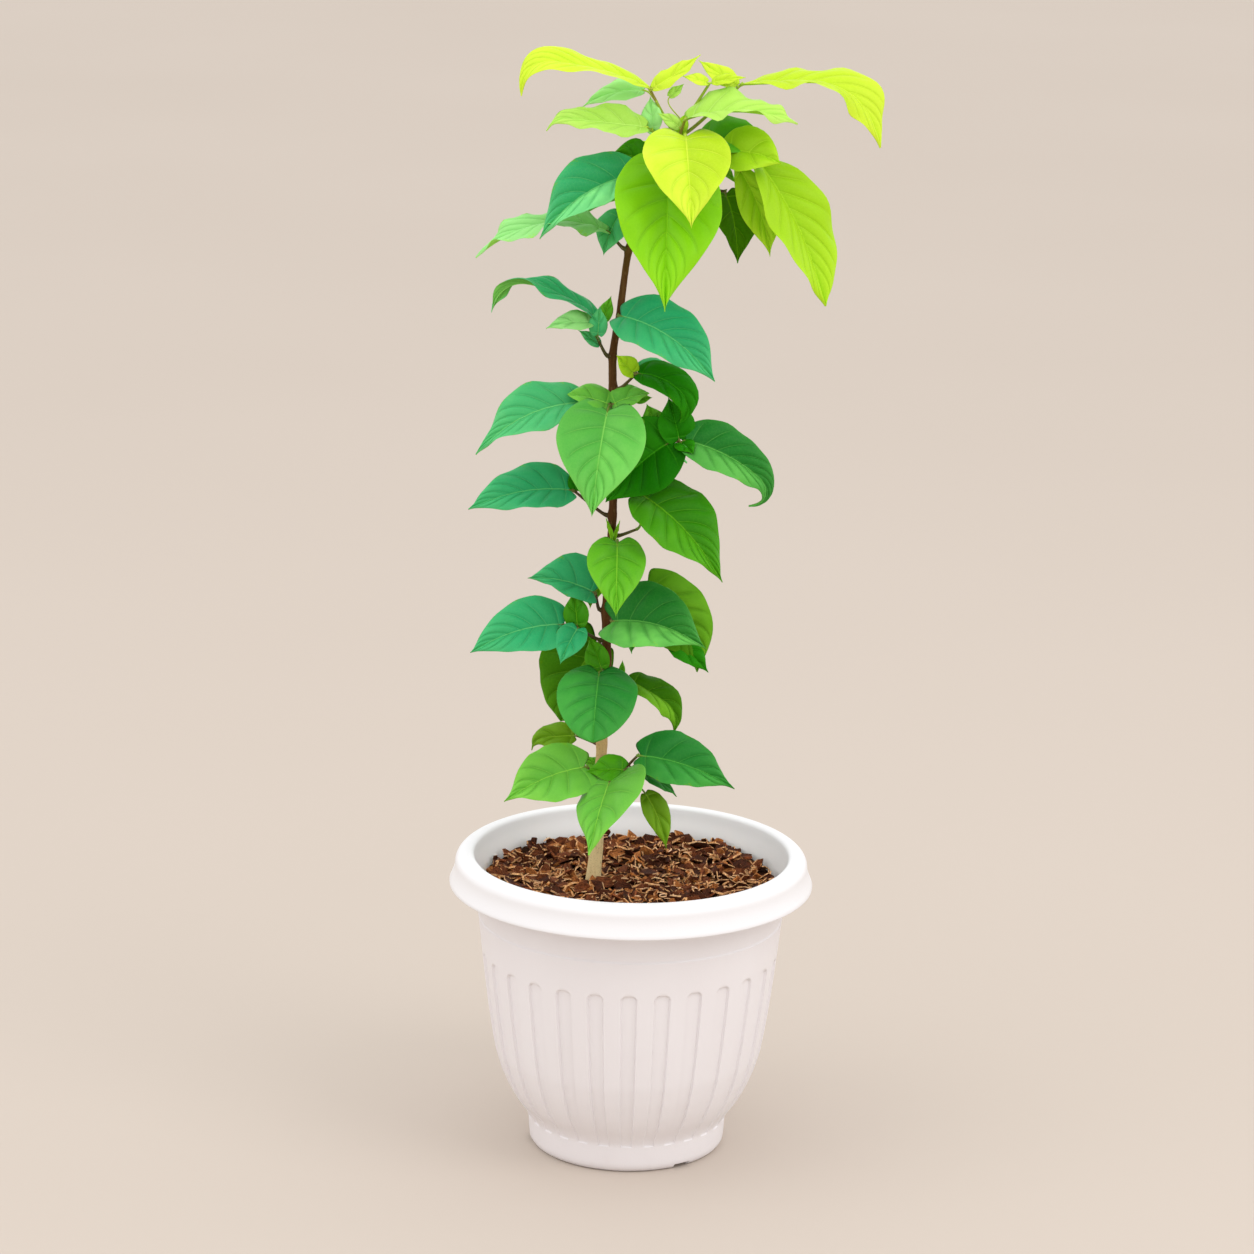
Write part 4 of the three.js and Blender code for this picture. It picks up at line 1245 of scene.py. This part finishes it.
def add_shoot(leaves_shell, stalks_shell, name, tints):
    """A shoot: its twig leaves the trunk square to it and bends to its own rise. The first leaf ends the
    twig, and the others stand on it."""
    height, (bearing, rise, length), leaves = SHOOTS[name]
    share = 1 if height is None else trunk_share(height)
    base = TRUNK_LINE.at(share)
    trunk_way = TRUNK_LINE.way(share)
    first = heading(bearing, 0)
    first = unit(first - trunk_way * (first @ trunk_way))
    clear = trunk_radius(base[2]) + TWIG_CLEAR
    if height is None:
        first = trunk_way
        clear = TIP_CLEAR
    start = base + first * clear
    tip = base + heading(bearing, rise) * length
    knee = mix(start + first * KNEE_REACH, tip, KNEE_SHARE)
    line = Line([start, knee, tip])
    add_twig(stalks_shell, line, start, first, 0)
    for index, spec in enumerate(leaves):
        blade = spec["blade"]
        root = line.along(spec["along"])
        way, pitch, reach = spec["stalk"] or (blade[0], blade[1], STALK_STUB)
        foot = root + heading(way, pitch) * reach
        leave = line.way(1) if spec["along"] == 1 else unit(foot - root)
        seed = f"{name} {index}"
        add_stalk(stalks_shell, root, leave, foot, spec, 1)
        if blade[2] > BUD_LEAF:
            add_bud(stalks_shell, root, unit(leave + UP * 0.9), BUD_SIZE, 1)
        tint = tints.index(spec["tint"])
        add_blade(leaves_shell, foot, spec, seed, (2 * tint, 2 * tint + 1))


def make_foliage():
    """The leaves and the stalks, joined by finish and by side of the crown."""
    slots = {part["node"]: part["material_slot"] for part in frame["record"]["subparts"]}
    groups = {}
    for name in SHOOTS:
        groups.setdefault(slots[name], {}).setdefault(side_of(name), []).append(name)
    sides = {tint: (leaf_finish(tint), leaf_finish(tint, underside=True)) for tint in TINTS}
    for slot, by_side in groups.items():
        kind = slot.removesuffix("_leaf")
        stalks = Shell()
        for side, names in by_side.items():
            blades = Shell()
            tints = sorted({spec["tint"] for name in names for spec in SHOOTS[name][2]})
            for name in names:
                add_shoot(blades, stalks, name, tints)
            finishes = [finish for tint in tints for finish in sides[tint]]
            settle(blades.piece(f"{kind}_leaves_{side}", finishes), slot, *names)
        piece = stalks.piece(f"{kind}_stalks", stalk_finishes(kind))
        settle(piece, slot, *(name for names in by_side.values() for name in names))


def stalk_finishes(kind):
    """The twig's finish and the leaf stalk's."""
    twigs, stalks = STALK_TINTS[kind]
    return [stalk_finish(f"{kind}_twig", *twigs), stalk_finish(f"{kind}_stalk", *stalks)]


def settle(piece, slot, *nodes):
    """Rides a piece on the plant's one body, in place of its solids."""
    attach(piece, "root")
    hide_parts(*nodes)


# Pot.
def wall_radius(height):
    heights, radii = zip(*WALL_PROFILE)
    return np.interp(height, heights, radii)


def panel_depth(offset, height):
    """How far the wall is sunk at an angle from a flute's middle: flat inside, with soft edges, round
    upper corners and a square foot, and shallower toward the foot."""
    side = np.radians(360 / FLUTES * FLUTE_SHARE / 2 - np.abs(offset)) * wall_radius(FLUTE_TOP)
    below_top = FLUTE_TOP - height
    corner = (side < FLUTE_CORNER) & (below_top < FLUTE_CORNER)
    rounded = FLUTE_CORNER - np.hypot(FLUTE_CORNER - side, FLUTE_CORNER - below_top)
    inside = np.where(corner, rounded, np.minimum(side, below_top))
    inside = np.minimum(inside, (height - FOOT_HEIGHT) * 1.2)
    depth = FLUTE_DEPTH * (0.45 + 0.55 * smooth(height, FOOT_HEIGHT, FOOT_HEIGHT + 34))
    return depth * smooth(inside, 0, FLUTE_EDGE)


def flute_columns():
    """The angles of the wall's columns, closer together at the flutes' edges, and each column's offset
    from the middle of its flute."""
    pitch = 360 / FLUTES
    half = [pitch * FLUTE_SHARE / 2 * share for share in FLUTE_COLUMNS]
    offsets = [-value for value in half[:0:-1]] + half + [pitch / 2]
    angles = [FIRST_FLUTE + i * pitch + offset for i in range(FLUTES) for offset in offsets]
    return np.array(angles), np.tile(offsets, FLUTES)


def wall_heights():
    """The heights of the wall's rows, closer together at the ends of the flutes."""
    fine_foot = np.arange(FOOT_HEIGHT, FOOT_HEIGHT + 2.1, 0.4)
    fine_top = np.arange(FLUTE_TOP - FLUTE_CORNER - 1.5, FLUTE_TOP + 0.6, 0.45)
    coarse = np.arange(25, FLUTE_TOP - FLUTE_CORNER - 2, 3)
    return np.concatenate([FOOT_ROWS, fine_foot, coarse, fine_top, BAND_ROWS])


def rim_profile():
    """The rolled rim as (radius, height), from under the skirt, over the crest and down the inside."""
    low, edge = RIM_RADIUS - SKIRT_THICKNESS, SKIRT_EDGE
    lip = [(low, SKIRT_BOTTOM + edge), (low + edge * 0.4, SKIRT_BOTTOM + 0.15), (low + edge, SKIRT_BOTTOM)]
    lip += [(RIM_RADIUS - edge, SKIRT_BOTTOM), (RIM_RADIUS - 0.15, SKIRT_BOTTOM + 0.3)]
    lip += [(RIM_RADIUS, SKIRT_BOTTOM + 1)]
    crest = []
    for turn in np.linspace(0, 90, 13):
        radius = mix(CREST_RADIUS, SHOULDER_RADIUS, math.cos(math.radians(turn)))
        crest.append((radius, mix(SHOULDER_HEIGHT, POT_HEIGHT, math.sin(math.radians(turn)))))
    return RIM_HOLLOW + lip + RIM_OUTSIDE + crest + RIM_MOUTH


def inner_profile():
    """The inside of the wall and the floor as (radius, height), from the top down."""
    points = [(wall_radius(height) - WALL - FLUTE_DEPTH * 0.4, height) for height in INNER_ROWS]
    return points + [(67.2, 5.5), (64.4, FLOOR_THICKNESS), (30, FLOOR_THICKNESS)]


def make_pot():
    """The pot as one closed skin, turned about the upright axis, with sunk flutes, drain holes and the
    notches in its foot."""
    angles, offsets = flute_columns()
    spread = np.stack([np.cos(np.radians(angles)), np.sin(np.radians(angles))], axis=1)
    profile = list(UNDERSIDE)
    profile += [(wall_radius(height) - panel_depth(offsets, height), height) for height in wall_heights()]
    profile += rim_profile() + inner_profile()
    rings = [spread_ring(spread, radius, height) for radius, height in profile]
    points, faces = capped(rings, [0, 0, UNDERSIDE[0][1]], [0, 0, FLOOR_THICKNESS])
    pot = solid("white_pot", points, faces, pot_finish())
    cut(pot, drain_cutters() + notch_cutters())
    pot.data.set_sharp_from_angle(angle=math.radians(50))
    settle(pot, "white_plastic", "pot")


def spread_ring(spread, radius, height):
    radius = np.broadcast_to(radius, len(spread))
    return np.column_stack([spread * radius[:, None], np.full(len(spread), height)])


def rod(centre, radius, low, high, sides=32):
    turns = np.linspace(0, 2 * math.pi, sides, endpoint=False)
    ring = np.stack([np.cos(turns), np.sin(turns)], axis=1) * radius + centre
    rings = [np.column_stack([ring, np.full(sides, height)]) for height in (low, high)]
    return capped(rings, [*centre, low], [*centre, high])


def drain_cutters():
    places = [heading(360 * i / DRAIN_HOLES, 0)[:2] * DRAIN_CIRCLE for i in range(DRAIN_HOLES)]
    return [rod(place, DRAIN_RADIUS, -5, FLOOR_THICKNESS + 5) for place in places]


def notch_cutters():
    cutters = []
    for i in range(NOTCHES):
        bearing = NOTCH_BEARING + 360 * i / NOTCHES
        out, side = heading(bearing, 0), heading(bearing + 90, 0)
        corners = [(50, -1), (90, -1), (90, 1), (50, 1)]
        floor = [out * reach + side * hand * NOTCH_WIDTH / 2 for reach, hand in corners]
        points = np.vstack([np.array(floor) - UP * 5, np.array(floor) + UP * NOTCH_HEIGHT])
        ends = np.array([[3, 2, 1, 0], [4, 5, 6, 7]])
        cutters.append((points, [grid_faces(2, 4, closed=True), ends]))
    return cutters


def cut(target, cutters):
    """Cuts closed shapes out of a piece."""
    shell = Shell()
    for points, faces in cutters:
        shell.add(points, faces)
    tool = shell.piece("cutter", [])
    modifier = target.modifiers.new("cut", "BOOLEAN")
    modifier.object = tool
    modifier.solver = "MANIFOLD"
    bpy.context.view_layer.update()
    changed = target.evaluated_get(bpy.context.evaluated_depsgraph_get())
    mesh = bpy.data.meshes.new_from_object(changed)
    target.modifiers.clear()
    target.data = mesh
    bpy.data.objects.remove(tool)


# Filling.
MULCH_STEM = TRUNK_LINE.at(trunk_share(MULCH_LEVEL))


def mulch_height(x, y):
    """The height of the bark layer's bed: low lumps, and a mound around the trunk."""
    lumps = 2.2 * noise.noise((x * 0.035, y * 0.035, 3.1)) + 1.4 * noise.noise((x * 0.11, y * 0.11, 7.7))
    from_stem = math.hypot(x - MULCH_STEM[0], y - MULCH_STEM[1])
    mound = STEM_MOUND * math.exp(-((from_stem / STEM_MOUND_REACH) ** 2))
    return MULCH_LEVEL - BED_DROP + lumps + mound + REAR_HEAP * float(smooth(y, 20, 95))


def make_mulch_bed():
    """The dark bed that shows between the chips."""
    rings, columns = 40, 110
    points = [[0, 0, mulch_height(0, 0)]]
    for radius in np.linspace(0, 1, rings + 1)[1:] * (wall_radius(NECK_HEIGHT) - WALL - BED_CLEAR):
        for turn in np.linspace(0, 2 * math.pi, columns, endpoint=False):
            x, y = radius * math.cos(turn), radius * math.sin(turn)
            crumb = 0.9 * noise.noise((x * 0.5, y * 0.5, 1.7))
            points.append([x, y, mulch_height(x, y) + crumb])
    for height in (BED_EDGE, BED_BOTTOM):
        points += [[x * 0.999, y * 0.999, height] for x, y, _ in points[-columns:]]
    points = np.array(points + [[0, 0, BED_BOTTOM]])
    ring = np.arange(columns) + 1
    body = grid_faces(rings + 2, columns, closed=True)[:, ::-1] + 1
    faces = [body, fan(0, ring), fan(len(points) - 1, ring + (rings + 1) * columns, flip=True)]
    settle(solid("mulch_bed", points, faces, earth_finish()), "bark_chips", "bark_mulch")


def chip_shape(draw):
    """A bent, ragged flake about its own middle, with its grain along X."""
    sides = draw.choice((5, 6, 7, 8))
    length = draw.uniform(*CHIP_LENGTH) * draw.uniform(0.55, 1)
    width = min(draw.uniform(*CHIP_WIDTH), length * 0.75)
    thick = draw.uniform(*CHIP_THICKNESS)
    turns = np.linspace(0, 2 * math.pi, sides, endpoint=False)
    turns = turns + np.array([draw.uniform(-0.3, 0.3) for _ in turns])
    ragged = np.array([draw.uniform(0.7, 1.12) for _ in turns])
    square = 1 / np.maximum(np.abs(np.cos(turns)), np.abs(np.sin(turns))) ** 0.75
    edge = np.stack([np.cos(turns) * length / 2, np.sin(turns) * width / 2], axis=1)
    edge = edge * (ragged * square)[:, None]
    rings = []
    for scale, level in ((0.5, 0.5), (0.96, 0.45), (1, -0.45), (0.5, -0.5)):
        shift = np.array([draw.uniform(-0.14, 0.14) for _ in turns])
        rings.append(np.column_stack([edge * scale, (level + shift) * thick]))
    points = np.vstack([*rings, [0, 0, thick * 0.5], [0, 0, -thick * 0.5]])
    bend, cup = draw.gauss(0, 0.018), draw.gauss(0.02, 0.04)
    twist = draw.gauss(0, 0.02)
    grain = points + np.array([draw.uniform(0, 300), draw.uniform(0, 300), 0])
    points[:, 2] += bend * points[:, 0] ** 2 + cup * points[:, 1] ** 2 + twist * points[:, 0] * points[:, 1]
    ring = np.arange(sides)
    upper, rim, lower = np.split(grid_faces(4, sides, closed=True)[:, ::-1], 3)
    ends = [fan(4 * sides, ring), fan(4 * sides + 1, ring + 3 * sides, flip=True)]
    return points, [upper, lower, *ends, rim], grain


def turned(points, yaw, pitch, roll):
    spin = Matrix.Rotation(yaw, 3, "Z") @ Matrix.Rotation(pitch, 3, "Y") @ Matrix.Rotation(roll, 3, "X")
    return points @ np.array(spin).T


def on_mulch(draw):
    """A random place on the bark layer."""
    radius = (MULCH_RADIUS - 1) * math.sqrt(draw.random())
    turn = draw.uniform(0, 2 * math.pi)
    return radius * math.cos(turn), radius * math.sin(turn)


def fits(points):
    """Whether a chip or strand lies inside the pot and clear of the trunk."""
    from_stem = np.hypot(points[:, 0] - MULCH_STEM[0], points[:, 1] - MULCH_STEM[1]).min()
    out = np.hypot(points[:, 0], points[:, 1]).max()
    return out < MULCH_RADIUS and from_stem > TRUNK_FOOT_RADIUS + 0.8


def make_chips():
    """The shredded bark: a flat lower layer, and flakes strewn over it at a slant or on edge. Each has dark
    faces, and pale sides: mostly broken bark, paler in itself and brightened further as a painted highlight,
    the rest its own colour lightened as a painted highlight."""
    draw = random.Random(CHIP_SEED)
    shell = Shell()
    placed = 0
    while placed < CHIPS:
        x, y = on_mulch(draw)
        points, faces, grain = chip_shape(draw)
        over = placed > CHIPS * FLAT_CHIPS
        slant = CHIP_SLANT[over]
        yaw, pitch, roll = draw.uniform(0, 2 * math.pi), draw.gauss(0, slant), draw.gauss(0, slant * 1.3)
        lift = draw.uniform(*CHIP_LIFT[over])
        points = turned(points, yaw, pitch, roll) + [x, y, mulch_height(x, y) + lift]
        if not fits(points) or points[:, 2].max() > mulch_height(x, y) + CHIP_RISE:
            continue
        tone = draw.choice((0, 0, 3, 3, 6))
        edge = tone + np.array([draw.choice((1, 1, 2)) for _ in faces[-1]])
        shell.add(points, faces, [tone] * 4 + [edge], grain=grain)
        placed += 1
    finishes = []
    for tone, (body, dark) in CHIP_TINTS.items():
        finishes.append(chip_finish(f"bark_{tone}", body, dark, shade(body, 1.7)))
        # The edge finish is pale broken bark brightened further as a painted highlight, and the rim finish
        # is the chip's own colour lightened as a painted highlight on its sides.
        finishes.append(chip_finish(f"bark_{tone}_edge", BROKEN_AND_LIT_TINT, body, WORN_TINT))
        finishes.append(chip_finish(f"bark_{tone}_rim", shade(body, 1.6), dark, shade(body, 2)))
    settle(shell.piece("bark_chips", finishes, smooth_faces=False), "bark_chips", "bark_mulch")


def strand_line(draw, x, y):
    """A crooked strand's line: mostly straight runs with a few sharp corners."""
    steps = 13
    length = draw.uniform(*STRAND_LENGTH)
    way = draw.uniform(0, 2 * math.pi)
    curl = draw.choice((0, 0, draw.gauss(0, 0.05)))
    level = mulch_height(x, y) + draw.uniform(*STRAND_LIFT)
    arch = draw.uniform(0, 0.8)
    points = []
    for step in range(steps):
        points.append([x, y, level + arch * math.sin(math.pi * step / (steps - 1))])
        way += curl + (draw.gauss(0, 1.1) if draw.random() < 0.05 else draw.gauss(0, 0.02))
        x += math.cos(way) * length / steps
        y += math.sin(way) * length / steps
    return np.array(points)


def loop_line(draw, x, y):
    """A small ring of cut fibre."""
    radius = draw.uniform(*LOOP_RADIUS)
    turns = np.linspace(0, draw.uniform(5.2, 6.1), 15)
    rise = 0.6 * np.sin(turns + 1)
    ring = np.stack([np.cos(turns) * radius, np.sin(turns) * radius * 0.75, rise], axis=1)
    return turned(ring, draw.uniform(0, 6.3), draw.gauss(0, 0.2), 0) + [x, y, mulch_height(x, y) + LOOP_LIFT]


def make_fibres():
    """Loose tan strands, slivers and a few small rings among the chips."""
    draw = random.Random(FIBRE_SEED)
    shell = Shell()
    placed = 0
    while placed < FIBRES + LOOPS:
        x, y = on_mulch(draw)
        loop = placed >= FIBRES
        points = loop_line(draw, x, y) if loop else strand_line(draw, x, y)
        if not fits(points):
            continue
        thick = draw.uniform(*FIBRE_RADIUS)
        taper = np.sin(math.pi * (0.14 + 0.72 * np.linspace(0, 1, len(points))))
        radii = np.full(len(points), thick) if loop else thick * (0.4 + 0.6 * taper)
        strand, faces = tube(points, radii, FIBRE_SIDES)
        offset = np.array([draw.uniform(0, 300), 0, 0])
        shell.add(strand, faces, draw.choice((0, 0, 1)), grain=strand + offset)
        placed += 1
    finishes = [chip_finish(name, *tints) for name, tints in FIBRE_TINTS.items()]
    settle(shell.piece("bark_fibres", finishes), "bark_chips", "bark_mulch")


def make_floor():
    """A plain pale floor, wide enough to fill the view."""
    corners = [(-1, -1, 0), (1, -1, 0), (1, 1, 0), (-1, 1, 0)]
    faces = [np.array([[0, 1, 2, 3]])]
    floor = solid("floor", np.array(corners) * FLOOR_HALF, faces, floor_finish(), smooth_faces=False)


def make_light(name, place, size, power):
    lamp = bpy.data.lights.new(name, "AREA")
    lamp.shape = "DISK"
    lamp.size = size
    lamp.energy = power
    lamp.color = LIGHT_COLOUR
    light = bpy.data.objects.new(name, lamp)
    bpy.context.scene.collection.objects.link(light)
    light.location = place
    light.rotation_euler = (LIGHT_TARGET - light.location).to_track_quat("-Z", "Y").to_euler()


def make_studio():
    """Soft light from the upper right, and a weaker one from the upper left, in a plain pale room."""
    make_floor()
    for name, light in LIGHTS.items():
        make_light(name, *light)
    world = bpy.data.worlds.new("studio")
    world.use_nodes = True
    sky = world.node_tree.nodes["Background"]
    sky.inputs["Color"].default_value = (*SKY_COLOUR, 1)
    sky.inputs["Strength"].default_value = SKY_STRENGTH
    bpy.context.scene.world = world
    bpy.context.scene.view_settings.view_transform = "Standard"


def make_camera():
    """The photograph's viewpoint: far off, looking down a little, and tilted by a degree."""
    lens = bpy.data.cameras.new("camera")
    lens.lens = CAMERA_LENS
    lens.sensor_width = CAMERA_SENSOR
    lens.clip_end = 100
    camera = bpy.data.objects.new("camera", lens)
    bpy.context.scene.collection.objects.link(camera)
    look = Matrix.Rotation(math.radians(90 - CAMERA_PITCH), 4, "X")
    tilt = Matrix.Rotation(math.radians(CAMERA_ROLL), 4, "Z")
    camera.matrix_world = Matrix.Translation(CAMERA_PLACE) @ look @ tilt
    bpy.context.scene.camera = camera


make_camera()
make_studio()
make_pot()
frame["nodes"]["potting_soil"].data.materials.clear()
frame["nodes"]["potting_soil"].data.materials.append(earth_finish())
make_mulch_bed()
make_chips()
make_fibres()
settle(make_stem(), "stem_bark", "trunk")
make_foliage()
